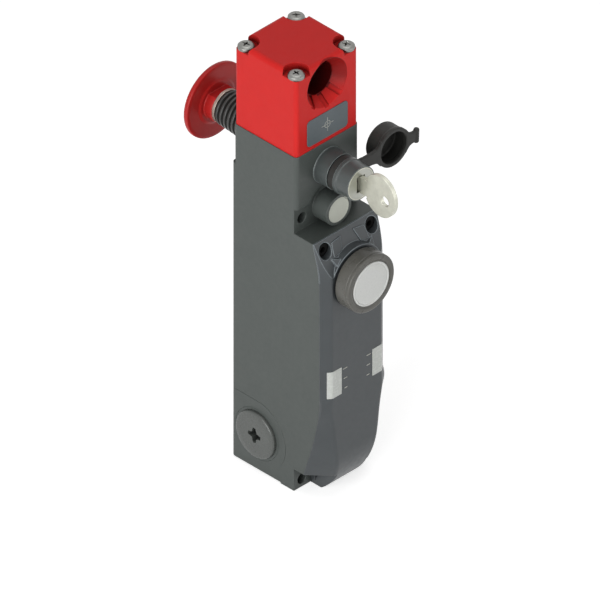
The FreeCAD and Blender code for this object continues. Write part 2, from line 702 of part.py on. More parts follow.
def body_holes():
    """Mounting holes, conduit entries, screw holes and the bores of the mechanism."""
    holes = []
    for x in (-HOLE_SPACING_X / 2, HOLE_SPACING_X / 2):
        for height in (LOWER_HOLE_HEIGHT, LOWER_HOLE_HEIGHT + HOLE_SPACING_Z):
            holes.append(mounting_hole(x, height))
    for name, (start, axis, wall) in entry_centres().items():
        holes.append(rod(ENTRY_RADIUS, start - axis, axis, wall + 2))
        if name != "bottom":
            holes.append(rod(ENTRY_RECESS_RADIUS, start - axis, axis, ENTRY_RECESS_DEPTH + 1))
            holes.append(entry_line(start, axis))
    for centre in head_screw_centres():
        foot = Vector(centre.x, centre.y, up(BODY_HEIGHT - HEAD_SCREW_GRIP))
        holes.append(rod(HEAD_SCREW_SHANK_RADIUS, foot, Z_AXIS, HEAD_SCREW_GRIP))
    for x in (-COVER_SCREW_X, COVER_SCREW_X):
        mouth = Vector(x, out(COVER_SCREW_SEAT_REACH), up(COVER_SCREW_HEIGHT))
        holes.append(rod(COVER_SCREW_SHANK_RADIUS, mouth, Y_AXIS,
                         COVER_SCREW_LENGTH - COVER_SCREW_SEAT_THICKNESS))
    lock_bore = rod(LOCK_SHANK_RADIUS, Vector(0, FRONT_Y - 1, up(LOCK_HEIGHT)), Y_AXIS,
                    CHAMBER_FRONT_Y - FRONT_Y + 2)
    escape_bore = rod(ESCAPE_BUSH_RADIUS, Vector(0, 0, up(LOCK_HEIGHT)), -Y_AXIS, 1 - CHAMBER_REAR_Y)
    plunger_bore = rod(ROD_RADIUS + SLIDING_GAP, Vector(0, BOLT_Y, up(COMPARTMENT_TOP) - 1), Z_AXIS,
                       CHAMBER_FLOOR - COMPARTMENT_TOP + 2)
    return holes + [lock_bore, escape_bore, plunger_bore, release_well()]


def entry_line(start, axis):
    """Fine line round a side entry: a quarter arc that runs straight back to the rear above it."""
    inner = PAD_LINE_RADIUS - PAD_LINE_WIDTH
    depth = PAD_LINE_DEPTH + 1
    ring = tube(PAD_LINE_RADIUS, inner, start - axis, axis, depth)
    near, far = start.x - axis.x, start.x + axis.x * PAD_LINE_DEPTH
    front_quarter = block((near, far), (start.y, start.y - PAD_LINE_RADIUS - 1),
                          (start.z - PAD_LINE_RADIUS / 2, start.z + PAD_LINE_RADIUS + 1))
    straight = block((near, far), (start.y, 1), (start.z + inner, start.z + PAD_LINE_RADIUS))
    return ring.common(front_quarter).fuse(straight)


def release_well():
    """Stepped blind hole in the small boss: plug seat in front, screw behind."""
    return joined(release_disc(1), release_screw())


def board_pillars():
    """Four posts on the compartment's rear wall that carry the main board."""
    posts = []
    inset = STANDOFF_RADIUS
    for x in (-MAIN_BOARD_HALF_WIDTH + inset, MAIN_BOARD_HALF_WIDTH - inset):
        for height in (MAIN_BOARD_BOTTOM + inset, MAIN_BOARD_TOP - inset):
            posts.append(rod(STANDOFF_RADIUS, Vector(x, -REAR_WALL, up(height)), -Y_AXIS, STANDOFF))
    return posts


def yoke_rails():
    """Two rails on the rear wall that the solenoid yoke is fixed against."""
    rear = BOLT_Y + COIL_RADIUS + YOKE_WALL
    rails = []
    for side in (-1, 1):
        outer = side * (YOKE_HALF_WIDTH - 1)
        rails.append(block((outer, outer - side * YOKE_RAIL_WIDTH), (rear, -REAR_WALL),
                           (up(COIL_BOTTOM), up(COIL_TOP))))
    return rails


# ---- cover -----------------------------------------------------------------------------
def front_cover():
    """Bulged cover, hollow inside, with the button's boss and two screw bosses."""
    button_axis = Vector(0, out(0), up(BUTTON_HEIGHT))
    inside = cover_form(COVER_WALL).common(
        block((-COVER_CAVITY_HALF, COVER_CAVITY_HALF), (out(COVER_REACH), FRONT_Y + 5),
              (up(FLOOR_THICKNESS), up(COMPARTMENT_TOP))))
    shape = cover_outside().cut(inside)
    shape = shape.fuse(cover_screw_boss(COVER_SCREW_WELL_RADIUS + COVER_SCREW_WELL_WALL).common(
        joined(cover_form(0), seam_block(-HALF_WIDTH, HALF_WIDTH))))
    for x in (-COVER_SCREW_X, COVER_SCREW_X):
        seat = Vector(x, out(COVER_SCREW_SEAT_REACH + COVER_SCREW_SEAT_THICKNESS), up(COVER_SCREW_HEIGHT))
        shape = shape.cut(rod(COVER_SCREW_WELL_RADIUS, seat, -Y_AXIS, COVER_REACH))
        shape = shape.cut(rod(COVER_SCREW_SHANK_RADIUS, seat + Y_AXIS * (COVER_SCREW_SEAT_THICKNESS + 1),
                              -Y_AXIS, COVER_SCREW_SEAT_THICKNESS + 2))
    shape = shape.cut(rod(BUTTON_HOLE_RADIUS, button_axis, -Y_AXIS, COVER_REACH + 1))
    shape = shape.cut(rod(NUT_RADIUS + SLIDING_GAP, button_axis, -Y_AXIS, COVER_REACH - COVER_WALL))
    for side in (-1, 1):
        shape = shape.cut(light_guide(side))
    foot_y = out(front_reach(0))
    shape = shape.cut(block((PRY_SLOT_FROM, PRY_SLOT_TO), (foot_y - 2, foot_y + PRY_SLOT_DEPTH),
                            (up(0) - 1, up(PRY_SLOT_HEIGHT))))
    return joined(shape, *lamp_board_posts())


def cover_outside():
    """The cover as a solid piece: bulge, nose at the foot, button boss and the two facets."""
    behind_seam = seam_block(-HALF_WIDTH - 1, HALF_WIDTH + 1)
    shape = outer_form(0).cut(behind_seam)
    shape = shape.cut(block((-HALF_WIDTH - 1, HALF_WIDTH + 1), (FRONT_Y + POCKET_DEPTH, 0),
                            (up(0) - 1, up(LEDGE_HEIGHT) + 1)))
    nose_root = block((-NOSE_HALF_WIDTH, NOSE_HALF_WIDTH),
                      (FRONT_Y + POCKET_DEPTH, out(FOOT_STATIONS[0][1])), (up(0), up(LOWER_POCKET_TOP)))
    shape = shape.fuse(nose_root).cut(lower_pockets()[0]).cut(lower_pockets()[1])
    boss = rod(BUTTON_BOSS_RADIUS, Vector(0, out(SLOPE_TOP_REACH), up(BUTTON_HEIGHT)), -Y_AXIS,
               COVER_REACH - SLOPE_TOP_REACH)
    shape = shape.fuse(boss.cut(behind_seam))
    for side in (-1, 1):
        shape = shape.fuse(gusset(side))
    return shape


def gusset(side):
    """Facet that leans from the shoulder up to the button's boss, beside each cover screw."""
    corners = []
    for x, below_ledge, proud in GUSSET_CORNERS:
        slope_reach = SLOPE_TOP_REACH + below_ledge * math.tan(slope_angle())
        corners.append(Vector(side * x, out(slope_reach + proud), up(LEDGE_HEIGHT - below_ledge)))
    return outline_face(corners).extrude(Y_AXIS * 3)


def cover_screws():
    """Two socket-head screws, one at each side of the shoulder."""
    screws = []
    for x in (-COVER_SCREW_X, COVER_SCREW_X):
        seat = Vector(x, out(COVER_SCREW_SEAT_REACH + COVER_SCREW_SEAT_THICKNESS), up(COVER_SCREW_HEIGHT))
        head = rod(COVER_SCREW_HEAD_RADIUS, seat, -Y_AXIS, COVER_SCREW_HEAD_LENGTH)
        shank = rod(COVER_SCREW_SHANK_RADIUS, seat, Y_AXIS, COVER_SCREW_LENGTH)
        socket = hexagon_prism(HEX_SOCKET_SIZE, seat - Y_AXIS * COVER_SCREW_HEAD_LENGTH, Y_AXIS,
                               HEX_SOCKET_DEPTH)
        screws.append(joined(head, shank).cut(socket))
    return Part.makeCompound(screws)


def light_guide(side):
    """Clear insert that wraps the cover's front edge: side is -1 for left and 1 for right."""
    band = outer_form(GUIDE_PROUD).cut(cover_form(COVER_WALL))
    front_half = FOOT_STATIONS[-1][2]
    inner_x = front_half - GUIDE_FRONT_WIDTH
    rear_y = out(COVER_REACH - GUIDE_SIDE_REACH)
    window = block((side * inner_x, side * (HALF_WIDTH + 1)), (out(COVER_REACH + 1), rear_y),
                   (up(GUIDE_BOTTOM), up(GUIDE_TOP)))
    return band.common(window)


def lamp_board_posts():
    """Posts on the inside of the cover's front that carry the indicator board."""
    posts = []
    front_y = out(COVER_REACH - COVER_WALL)
    length = COVER_REACH - COVER_WALL - LAMP_BOARD_REACH
    for x in (-LAMP_BOARD_HALF_WIDTH / 2, LAMP_BOARD_HALF_WIDTH / 2):
        for height in (LAMP_BOARD_BOTTOM + LAMP_POST_INSET, LAMP_BOARD_TOP - LAMP_POST_INSET):
            posts.append(rod(LAMP_POST_RADIUS, Vector(x, front_y, up(height)), Y_AXIS, length))
    return posts


# ---- head ------------------------------------------------------------------------------
def head_screw_centres():
    return [Vector(x, y, up(HEAD_TOP)) for x in (-HEAD_SCREW_X, HEAD_SCREW_X)
            for y in (HEAD_MID_Y - HEAD_SCREW_Y, HEAD_MID_Y + HEAD_SCREW_Y)]


def funnel():
    """Through bore with a conical mouth, and radial grooves that let dirt fall out."""
    bore = rod(BORE_RADIUS, Vector(0, HEAD_FRONT_Y - 1, up(BORE_HEIGHT)), Y_AXIS, HEAD_DEPTH + 2)
    shape = bore.fuse(mouth_cone(0))
    for angle in DRAIN_ANGLES:
        groove = block((BORE_RADIUS - 1, FUNNEL_RADIUS + DRAIN_OVERRUN),
                       (HEAD_FRONT_Y - 1, HEAD_FRONT_Y + FUNNEL_DEPTH), (-DRAIN_WIDTH / 2, DRAIN_WIDTH / 2))
        groove.rotate(Vector(0, 0, 0), -Y_AXIS, angle)
        groove.translate(Vector(0, 0, up(BORE_HEIGHT)))
        shape = shape.fuse(groove.common(mouth_cone(DRAIN_OVERRUN)))
    return shape


def mouth_cone(wider):
    """The funnel's cone, a little wider where the grooves run."""
    spread = (FUNNEL_RADIUS - BORE_RADIUS) / FUNNEL_DEPTH
    front = HEAD_FRONT_Y - 1
    return turned_y([(front, 0), (front, FUNNEL_RADIUS + wider + spread),
                     (HEAD_FRONT_Y + FUNNEL_DEPTH, BORE_RADIUS + wider), (HEAD_FRONT_Y + FUNNEL_DEPTH, 0)],
                    0, up(BORE_HEIGHT))


def rounded_plate(width, height, corner, y_front, thickness, height_centre):
    z = up(height_centre)
    shape = block((-width / 2, width / 2), (y_front, y_front + thickness), (z - height / 2, z + height / 2))
    edges = [edge for edge in shape.Edges if abs(edge.tangentAt(edge.FirstParameter).y) > 0.99]
    return shape.makeFillet(corner, edges)


def head_housing():
    shape = block((-HEAD_WIDTH / 2, HEAD_WIDTH / 2), (HEAD_FRONT_Y, HEAD_FRONT_Y + HEAD_DEPTH),
                  (up(HEAD_BASE), up(HEAD_TOP)))
    shape = shape.makeFillet(BODY_CORNER, upright_edges(shape))
    top = [edge for edge in shape.Edges if abs(edge.BoundBox.ZMin - up(HEAD_TOP)) < 1e-6]
    shape = shape.makeFillet(HEAD_TOP_ROUND, top)
    for centre in head_screw_centres():
        pocket = rod(CORNER_POCKET_RADIUS, centre + Z_AXIS, -Z_AXIS, CORNER_POCKET_DEPTH + 1)
        shape = shape.cut(pocket)
        shape = shape.cut(rod(HEAD_SCREW_SHANK_RADIUS, centre + Z_AXIS, -Z_AXIS, HEAD_HEIGHT + 2))
    shape = shape.cut(funnel())
    shape = shape.cut(rounded_plate(PLATE_WIDTH, PLATE_HEIGHT, PLATE_CORNER, HEAD_FRONT_Y - 1,
                                    1 + PLATE_THICKNESS - PLATE_PROUD, PLATE_HEIGHT_CENTRE))
    bolt_foot = Vector(0, BOLT_Y, up(BODY_HEIGHT))
    shape = shape.cut(rod(BOLT_RADIUS + SLIDING_GAP, bolt_foot, Z_AXIS, BORE_HEIGHT - BODY_HEIGHT))
    shape = shape.cut(rod(BUSH_RADIUS, bolt_foot, Z_AXIS, HEAD_GASKET_THICKNESS + BUSH_LENGTH))
    shape = shape.cut(antenna_room())
    return shape.removeSplitter()


def antenna_room():
    """Slot behind the centre-mark plate for the antenna board and its coil."""
    front = HEAD_FRONT_Y + ANTENNA_SETBACK
    return block((-ANTENNA_BOARD_WIDTH / 2, ANTENNA_BOARD_WIDTH / 2), (front, front + BOARD_THICKNESS
                 + ANTENNA_COIL_SECTION), (up(HEAD_BASE) - 1, up(HEAD_BASE + ANTENNA_BOARD_HEIGHT)))


def antenna_board():
    front = HEAD_FRONT_Y + ANTENNA_SETBACK + ANTENNA_COIL_SECTION
    return block((-ANTENNA_BOARD_WIDTH / 2, ANTENNA_BOARD_WIDTH / 2), (front, front + BOARD_THICKNESS),
                 (up(HEAD_BASE), up(HEAD_BASE + ANTENNA_BOARD_HEIGHT)))


def antenna_coil():
    centre = Vector(0, HEAD_FRONT_Y + ANTENNA_SETBACK, up(HEAD_BASE + ANTENNA_BOARD_HEIGHT / 2))
    return tube(ANTENNA_COIL_RADIUS, ANTENNA_COIL_RADIUS - ANTENNA_COIL_SECTION, centre, Y_AXIS,
                ANTENNA_COIL_SECTION)


def head_gasket():
    half_x, half_y = HEAD_WIDTH / 2 - HEAD_GASKET_INSET, HEAD_DEPTH / 2 - HEAD_GASKET_INSET
    inner = CHAMBER_HALF_WIDTH + 1
    z_range = (up(BODY_HEIGHT), up(HEAD_BASE))
    shape = block((-half_x, half_x), (HEAD_MID_Y - half_y, HEAD_MID_Y + half_y), z_range)
    shape = shape.cut(block((-inner, inner), (CHAMBER_FRONT_Y - 1, CHAMBER_REAR_Y + 1), z_range))
    for centre in head_screw_centres():
        shape = shape.cut(rod(HEAD_SCREW_SHANK_RADIUS, centre, -Z_AXIS, HEAD_HEIGHT + 1))
    return shape


def head_screws():
    """Four pan-head screws with cross recesses, standing in the corner pockets."""
    screws = []
    for centre in head_screw_centres():
        seat = centre - Z_AXIS * CORNER_POCKET_DEPTH
        radius, height = HEAD_SCREW_HEAD_RADIUS, HEAD_SCREW_HEAD_HEIGHT
        rim = eased((0, radius), (height, radius), (height, 0), HEAD_SCREW_EDGE)
        head = turned([(0, 0), (0, radius)] + rim + [(height, 0)], seat, Z_AXIS)
        length = HEAD_HEIGHT - CORNER_POCKET_DEPTH + HEAD_SCREW_GRIP
        shank = rod(HEAD_SCREW_SHANK_RADIUS, seat, -Z_AXIS, length)
        recess = cross_recess(SCREW_CROSS_ARM, SCREW_CROSS_WIDTH, SCREW_CROSS_DEPTH,
                              (centre.x, centre.y, seat.z + HEAD_SCREW_HEAD_HEIGHT), "z")
        screws.append(joined(head, shank).cut(recess))
    return Part.makeCompound(screws)


def mark_plate():
    """Grey plate with the ring-and-cross mark that shows where the coded centre lies."""
    front = HEAD_FRONT_Y - PLATE_PROUD
    shape = rounded_plate(PLATE_WIDTH, PLATE_HEIGHT, PLATE_CORNER, front, PLATE_THICKNESS,
                          PLATE_HEIGHT_CENTRE)
    z = up(PLATE_HEIGHT_CENTRE)
    half = MARK_LINE / 2
    depth = (front - 1, front + MARK_DEPTH)
    across = block((-MARK_ARM, MARK_ARM), depth, (z - half, z + half))
    upright = block((-half, half), depth, (z - MARK_ARM, z + MARK_ARM))
    ring = tube(MARK_RING_RADIUS + half, MARK_RING_RADIUS - half, Vector(0, front - 1, z), Y_AXIS,
                1 + MARK_DEPTH)
    return shape.cut(joined(across, upright, ring))


# ---- locking bolt and solenoid ---------------------------------------------------------
def bolt_bush():
    foot = Vector(0, BOLT_Y, up(HEAD_BASE))
    return tube(BUSH_RADIUS, BOLT_RADIUS + RUNNING_GAP, foot, Z_AXIS, BUSH_LENGTH)


def locking_bolt():
    """Round bolt that rises into the bore of the head when the guard is locked."""
    top = BORE_HEIGHT - BORE_RADIUS - BOLT_BELOW_BORE
    shape = rod(BOLT_RADIUS, Vector(0, BOLT_Y, up(SLIDER_TOP)), Z_AXIS, top - SLIDER_TOP)
    rim = [edge for edge in shape.Edges if abs(edge.BoundBox.ZMin - up(top)) < 1e-6 and edge.Closed]
    return shape.makeChamfer(0.8, rim)


def bolt_slider():
    """Slider with a front shelf for the key cam and a rear shoulder for the escape fork."""
    x_range = (-SLIDER_HALF_WIDTH, SLIDER_HALF_WIDTH)
    main = block(x_range, (SLIDER_FRONT_Y, SLIDER_REAR_Y), (up(SLIDER_BOTTOM), up(SLIDER_TOP)))
    shelf = block(x_range, (CHAMBER_FRONT_Y + SLIDING_GAP, SLIDER_FRONT_Y),
                  (up(CAM_SHELF_TOP - SHELF_THICKNESS), up(CAM_SHELF_TOP)))
    shape = joined(main, shelf)
    ramp = [edge for edge in shape.Edges if abs(edge.BoundBox.YMax - SLIDER_REAR_Y) < 1e-6
            and abs(edge.BoundBox.ZMin - up(SLIDER_TOP)) < 1e-6 and edge.BoundBox.XLength > 1]
    return shape.makeChamfer(SLIDER_RAMP, ramp)


def solenoid_plunger():
    """Iron plunger with the thin rod that lifts the slider."""
    iron = rod(PLUNGER_RADIUS, Vector(0, BOLT_Y, up(PLUNGER_LOW)), Z_AXIS, PLUNGER_TOP - PLUNGER_LOW)
    stem = rod(ROD_RADIUS, Vector(0, BOLT_Y, up(PLUNGER_TOP)), Z_AXIS, SLIDER_BOTTOM - PLUNGER_TOP)
    return joined(iron, stem)


def plunger_spring():
    """Light compression spring between the plunger and the partition above it."""
    gap = SLIDING_GAP
    height = PLUNGER_HEADROOM - 2 * gap - SPRING_WIRE
    return coil_spring(PLUNGER_SPRING_RADIUS, SPRING_WIRE, height, 3,
                       Vector(0, BOLT_Y, up(PLUNGER_TOP) + gap + SPRING_WIRE / 2))


def coil_spring(radius, wire, height, turns, foot):
    """Square wire wound along Z about the line through foot, as a run of straight lengths."""
    steps_per_turn = 10
    sections = []
    for step in range(turns * steps_per_turn + 1):
        turn = 2 * math.pi * step / steps_per_turn
        rise = height * step / (turns * steps_per_turn)
        corners = [(radius - wire / 2, rise - wire / 2), (radius + wire / 2, rise - wire / 2),
                   (radius + wire / 2, rise + wire / 2), (radius - wire / 2, rise + wire / 2)]
        points = [foot + Vector(r * math.cos(turn), r * math.sin(turn), z) for r, z in corners]
        sections.append(Part.makePolygon(points + points[:1]))
    return Part.makeLoft(sections, True, True)


def solenoid_coil():
    return tube(COIL_RADIUS, PLUNGER_RADIUS + SLIDING_GAP, Vector(0, BOLT_Y, up(COIL_BOTTOM)), Z_AXIS,
                COIL_TOP - COIL_BOTTOM)


def solenoid_yoke():
    """Steel frame folded round the coil: rear wall, top and bottom plates."""
    x_range = (-YOKE_HALF_WIDTH, YOKE_HALF_WIDTH)
    y_range = (BOLT_Y - COIL_RADIUS, BOLT_Y + COIL_RADIUS + YOKE_WALL)
    rear = block(x_range, (y_range[1] - YOKE_WALL, y_range[1]), (up(COIL_BOTTOM), up(COIL_TOP)))
    top = block(x_range, y_range, (up(COIL_TOP), up(COIL_TOP + YOKE_WALL)))
    bottom = block(x_range, y_range, (up(COIL_BOTTOM - YOKE_WALL), up(COIL_BOTTOM)))
    shape = joined(rear, top, bottom)
    return shape.cut(rod(PLUNGER_RADIUS + SLIDING_GAP, Vector(0, BOLT_Y, up(COIL_TOP) - 1), Z_AXIS,
                         YOKE_WALL + 2))


# ---- key release -----------------------------------------------------------------------
def lock_housing():
    """Turned housing: base, groove for the strap ring, lip and nose, with a stepped bore."""
    back = FRONT_Y - CHAMBER_FRONT_Y
    bore = BARREL_RADIUS + RUNNING_GAP
    face_bore = BARREL_FACE_RADIUS + RUNNING_GAP
    step = LOCK_NOSE_REACH - BARREL_FACE_THICKNESS
    lip = (LOCK_LIP_REACH, LOCK_NOSE_RADIUS)
    front = (LOCK_NOSE_REACH, face_bore)
    points = [(back, bore), (back, LOCK_SHANK_RADIUS), (0, LOCK_SHANK_RADIUS), (0, LOCK_BASE_RADIUS),
              (LOCK_BASE_REACH, LOCK_BASE_RADIUS), (LOCK_BASE_REACH, STRAP_GROOVE_RADIUS),
              (STRAP_GROOVE_END, STRAP_GROOVE_RADIUS), (STRAP_GROOVE_END, LOCK_BASE_RADIUS),
              (LOCK_LIP_REACH, LOCK_BASE_RADIUS), lip]
    points += eased(lip, (LOCK_NOSE_REACH, LOCK_NOSE_RADIUS), front, LOCK_EDGE_ROUND)
    return turned_out(points + [front, (step, face_bore), (step, bore)], LOCK_HEIGHT)


def lock_barrel():
    """Barrel with its silver face and the slot for the key."""
    step = LOCK_NOSE_REACH - BARREL_FACE_THICKNESS
    back = FRONT_Y - (CHAMBER_FRONT_Y + SLIDING_GAP)
    points = [(back, 0), (back, BARREL_RADIUS), (step, BARREL_RADIUS), (step, BARREL_FACE_RADIUS),
              (LOCK_NOSE_REACH, BARREL_FACE_RADIUS), (LOCK_NOSE_REACH, 0)]
    shape = turned_out(points, LOCK_HEIGHT)
    half_x = KEY_THICKNESS / 2 + KEY_SLOT_GAP
    half_z = KEY_BLADE_HEIGHT / 2 + KEY_SLOT_GAP
    z = up(LOCK_HEIGHT)
    front = out(LOCK_NOSE_REACH)
    slot = block((-half_x, half_x), (front - 1, front + KEY_BLADE_LENGTH + 1), (z - half_z, z + half_z))
    mouth = block((-KEYWAY_MOUTH_HALF_WIDTH, KEYWAY_MOUTH_HALF_WIDTH),
                  (front - 1, front + KEYWAY_MOUTH_DEPTH), (z - half_z, z + half_z))
    return shape.cut(slot).cut(mouth)


def key_cam():
    """Cam on the inner end of the barrel: at rest its lobe points sideways."""
    y = CHAMBER_FRONT_Y + SLIDING_GAP
    z = up(LOCK_HEIGHT)
    hub = rod(CAM_HUB_RADIUS, Vector(0, y, z), Y_AXIS, CAM_LENGTH)
    lobe = block((0, CAM_LOBE_RADIUS), (y, y + CAM_LENGTH),
                 (z - CAM_HALF_THICKNESS, z + CAM_HALF_THICKNESS))
    sweep = rod(CAM_LOBE_RADIUS, Vector(0, y, z), Y_AXIS, CAM_LENGTH)
    return joined(hub, lobe.common(sweep))


def key():
    """Flat key: oval bow with its ring hole, neck and blade."""
    half = KEY_THICKNESS / 2
    z = up(LOCK_HEIGHT)
    bow = Part.Ellipse(Vector(0, 0, 0), KEY_BOW_HALF_HEIGHT, KEY_BOW_HALF_LENGTH)
    face = Part.Face(Part.Wire(bow.toShape()))
    face.rotate(Vector(0, 0, 0), Y_AXIS, 90)
    face.translate(Vector(-half, out(KEY_BOW_REACH), z))
    shape = face.extrude(X_AXIS * KEY_THICKNESS)
    neck = block((-half, half), (out(KEY_BOW_REACH), out(LOCK_NOSE_REACH + SLIDING_GAP)),
                 (z - KEY_NECK_HEIGHT / 2, z + KEY_NECK_HEIGHT / 2))
    blade = block((-half, half),
                  (out(LOCK_NOSE_REACH + SLIDING_GAP), out(LOCK_NOSE_REACH - KEY_BLADE_LENGTH)),
                  (z - KEY_BLADE_HEIGHT / 2, z + KEY_BLADE_HEIGHT / 2))
    shape = joined(shape, neck, blade)
    hole = rod(KEY_HOLE_RADIUS, Vector(-half - 1, out(KEY_HOLE_REACH), z - KEY_HOLE_DROP), X_AXIS,
               KEY_THICKNESS + 2)
    return shape.cut(hole)


# ---- dust cap and its strap ------------------------------------------------------------
def drooped(shape):
    """Turn a piece about the lock axis so that the open cap hangs a little."""
    shape.rotate(Vector(0, 0, up(LOCK_HEIGHT)), Y_AXIS, CAP_DROOP)
    return shape


def strap_piece(x_from, x_to):
    z = up(LOCK_HEIGHT)
    y = out((LOCK_BASE_REACH + STRAP_GROOVE_END) / 2)
    return block((x_from, x_to), (y - STRAP_THICKNESS / 2, y + STRAP_THICKNESS / 2),
                 (z - STRAP_WIDTH / 2, z + STRAP_WIDTH / 2))


def strap_ring():
    """Ring that turns in the groove of the lock housing, with its half of the strap."""
    start = LOCK_BASE_REACH + STRAP_RING_GAP
    width = STRAP_GROOVE_END - STRAP_RING_GAP - start
    z = up(LOCK_HEIGHT)
    ring = rod(STRAP_RING_RADIUS, Vector(0, out(start), z), -Y_AXIS, width)
    strap = strap_piece(0, CAP_DISTANCE / 2)
    hole = rod(STRAP_GROOVE_RADIUS + RUNNING_GAP, Vector(0, out(0), z), -Y_AXIS, LOCK_NOSE_REACH)
    return drooped(joined(ring, strap, strap_bead(STRAP_BEAD_RADIUS)).cut(hole))


def strap_bead(radius):
    """Round bead, or its socket, along the line where the strap folds."""
    foot = Vector(CAP_DISTANCE / 2, out((LOCK_BASE_REACH + STRAP_GROOVE_END) / 2),
                  up(LOCK_HEIGHT) - STRAP_WIDTH / 2)
    return rod(radius, foot, Z_AXIS, STRAP_WIDTH)


def dust_cap():
    """Rubber cap, open to the front, with its half of the strap and a pull tab."""
    mouth = (LOCK_BASE_REACH + STRAP_GROOVE_END) / 2
    back = mouth - CAP_DEPTH
    rim = (mouth, CAP_OUTER_RADIUS)
    points = [(back, 0)] + eased((back, 0), (back, CAP_OUTER_RADIUS), rim, CAP_BACK_ROUND)
    points += [rim, (mouth, CAP_LIP_RADIUS),
               (mouth - CAP_LIP_WIDTH, CAP_LIP_RADIUS), (mouth - CAP_LIP_WIDTH, CAP_INNER_RADIUS),
               (back + CAP_FLOOR, CAP_INNER_RADIUS), (back + CAP_FLOOR, 0)]
    cup = turned_y([(out(reach), radius) for reach, radius in points], CAP_DISTANCE, up(LOCK_HEIGHT))
    strap = strap_piece(CAP_DISTANCE / 2, CAP_DISTANCE)
    strap = strap.cut(strap_bead(STRAP_BEAD_RADIUS + STRAP_GAP))
    z = up(LOCK_HEIGHT)
    y = out(mouth)
    tab = block((CAP_DISTANCE, TAB_END), (y - STRAP_THICKNESS / 2, y + STRAP_THICKNESS / 2),
                (z - TAB_WIDTH / 2, z + TAB_WIDTH / 2))
    bead = rod(TAB_BEAD_RADIUS, Vector(TAB_END - TAB_BEAD_RADIUS, y, z - TAB_WIDTH / 2), Z_AXIS, TAB_WIDTH)
    inside = rod(CAP_OUTER_RADIUS - 0.5, Vector(CAP_DISTANCE, out(back), z), -Y_AXIS, CAP_DEPTH + 5)
    arms = joined(strap, tab, bead).cut(inside)
    return drooped(joined(cup, arms))


# ---- small sealed release --------------------------------------------------------------
def release_disc(proud):
    """Disc with a small lifting tab at its edge, from the seat to this far past the boss."""
    seat_y = out(RELEASE_BOSS_REACH - RELEASE_PLUG_THICKNESS)
    thickness = RELEASE_PLUG_THICKNESS + proud
    z = up(RELEASE_HEIGHT)
    disc = rod(RELEASE_PLUG_RADIUS, Vector(RELEASE_X, seat_y, z), -Y_AXIS, thickness)
    tab = block((RELEASE_X, RELEASE_X + RELEASE_TAB_REACH), (seat_y, seat_y - thickness),
                (z - RELEASE_TAB_WIDTH / 2, z + RELEASE_TAB_WIDTH / 2))
    tab.rotate(Vector(RELEASE_X, 0, z), -Y_AXIS, 45)
    return joined(disc, tab)


def release_plug():
    """Pale plug that seals the release screw."""
    return release_disc(0)


def release_screw():
    """Release screw behind the plug, with a flat head."""
    seat = Vector(RELEASE_X, out(RELEASE_BOSS_REACH - RELEASE_PLUG_THICKNESS), up(RELEASE_HEIGHT))
    head = rod(RELEASE_SCREW_HEAD_RADIUS, seat, Y_AXIS, RELEASE_SCREW_HEAD_LENGTH)
    return joined(head, rod(RELEASE_SCREW_HEAD_RADIUS / 2, seat, Y_AXIS, RELEASE_SCREW_LENGTH))


# ---- push-button -----------------------------------------------------------------------
def button_bezel():
    """Turned bezel with a threaded barrel that passes through the cover."""
    seat = COVER_REACH + BEZEL_SEAL_THICKNESS
    recess = LENS_REACH - LENS_THICKNESS - LENS_TRAVEL - 0.5
    lens_bore = LENS_RADIUS + RUNNING_GAP
    groove = BEZEL_GROOVE_DEPTH
    lip = (BEZEL_GROOVE + groove, BEZEL_RADIUS)
    front = (BEZEL_REACH, lens_bore)
    points = [(BEZEL_BARREL_END, STEM_RADIUS + RUNNING_GAP), (BEZEL_BARREL_END, BEZEL_BARREL_RADIUS),
              (seat, BEZEL_BARREL_RADIUS), (seat, BEZEL_RADIUS),
              (BEZEL_GROOVE - groove, BEZEL_RADIUS), (BEZEL_GROOVE, BEZEL_RADIUS - groove), lip]
    points += eased(lip, (BEZEL_REACH, BEZEL_RADIUS), front, BEZEL_ROUND)
    points += [front, (recess, lens_bore), (recess, STEM_RADIUS + RUNNING_GAP)]
    return turned_out(points, BUTTON_HEIGHT)


def button_seal():
    return tube(BEZEL_SEAL_RADIUS, BEZEL_BARREL_RADIUS, Vector(0, out(COVER_REACH), up(BUTTON_HEIGHT)),
                -Y_AXIS, BEZEL_SEAL_THICKNESS)


def button_nut():
    seat = Vector(0, out(COVER_REACH - COVER_WALL), up(BUTTON_HEIGHT))
    nut = hexagon_prism(2 * NUT_RADIUS * math.cos(math.pi / 6), seat, Y_AXIS, NUT_THICKNESS)
    return nut.cut(rod(BEZEL_BARREL_RADIUS, seat - Y_AXIS, Y_AXIS, NUT_THICKNESS + 2))


def button_lens():
    """Translucent cap of the push-button."""
    back = LENS_REACH - LENS_THICKNESS
    rim = eased((back, LENS_RADIUS), (LENS_REACH, LENS_RADIUS), (LENS_REACH, 0), LENS_EDGE)
    return turned_out([(back, 0), (back, LENS_RADIUS)] + rim + [(LENS_REACH, 0)], BUTTON_HEIGHT)


def button_stem():
    """Hollow stem behind the lens that works the contact block."""
    back = LENS_REACH - LENS_THICKNESS
    return tube(STEM_RADIUS, STEM_RADIUS - STEM_WALL, Vector(0, out(STEM_END), up(BUTTON_HEIGHT)), -Y_AXIS,
                back - STEM_END)


def button_spring():
    """Return spring inside the stem, along Y."""
    wire = BUTTON_SPRING_WIRE
    length = LENS_REACH - LENS_THICKNESS - CONTACT_FRONT_REACH - wire - 2 * SLIDING_GAP
    spring = coil_spring(BUTTON_SPRING_RADIUS, wire, length, 6, Vector(0, 0, 0))
    spring.rotate(Vector(0, 0, 0), X_AXIS, 90)
    spring.translate(Vector(0, out(CONTACT_FRONT_REACH) - wire / 2 - SLIDING_GAP, up(BUTTON_HEIGHT)))
    return spring


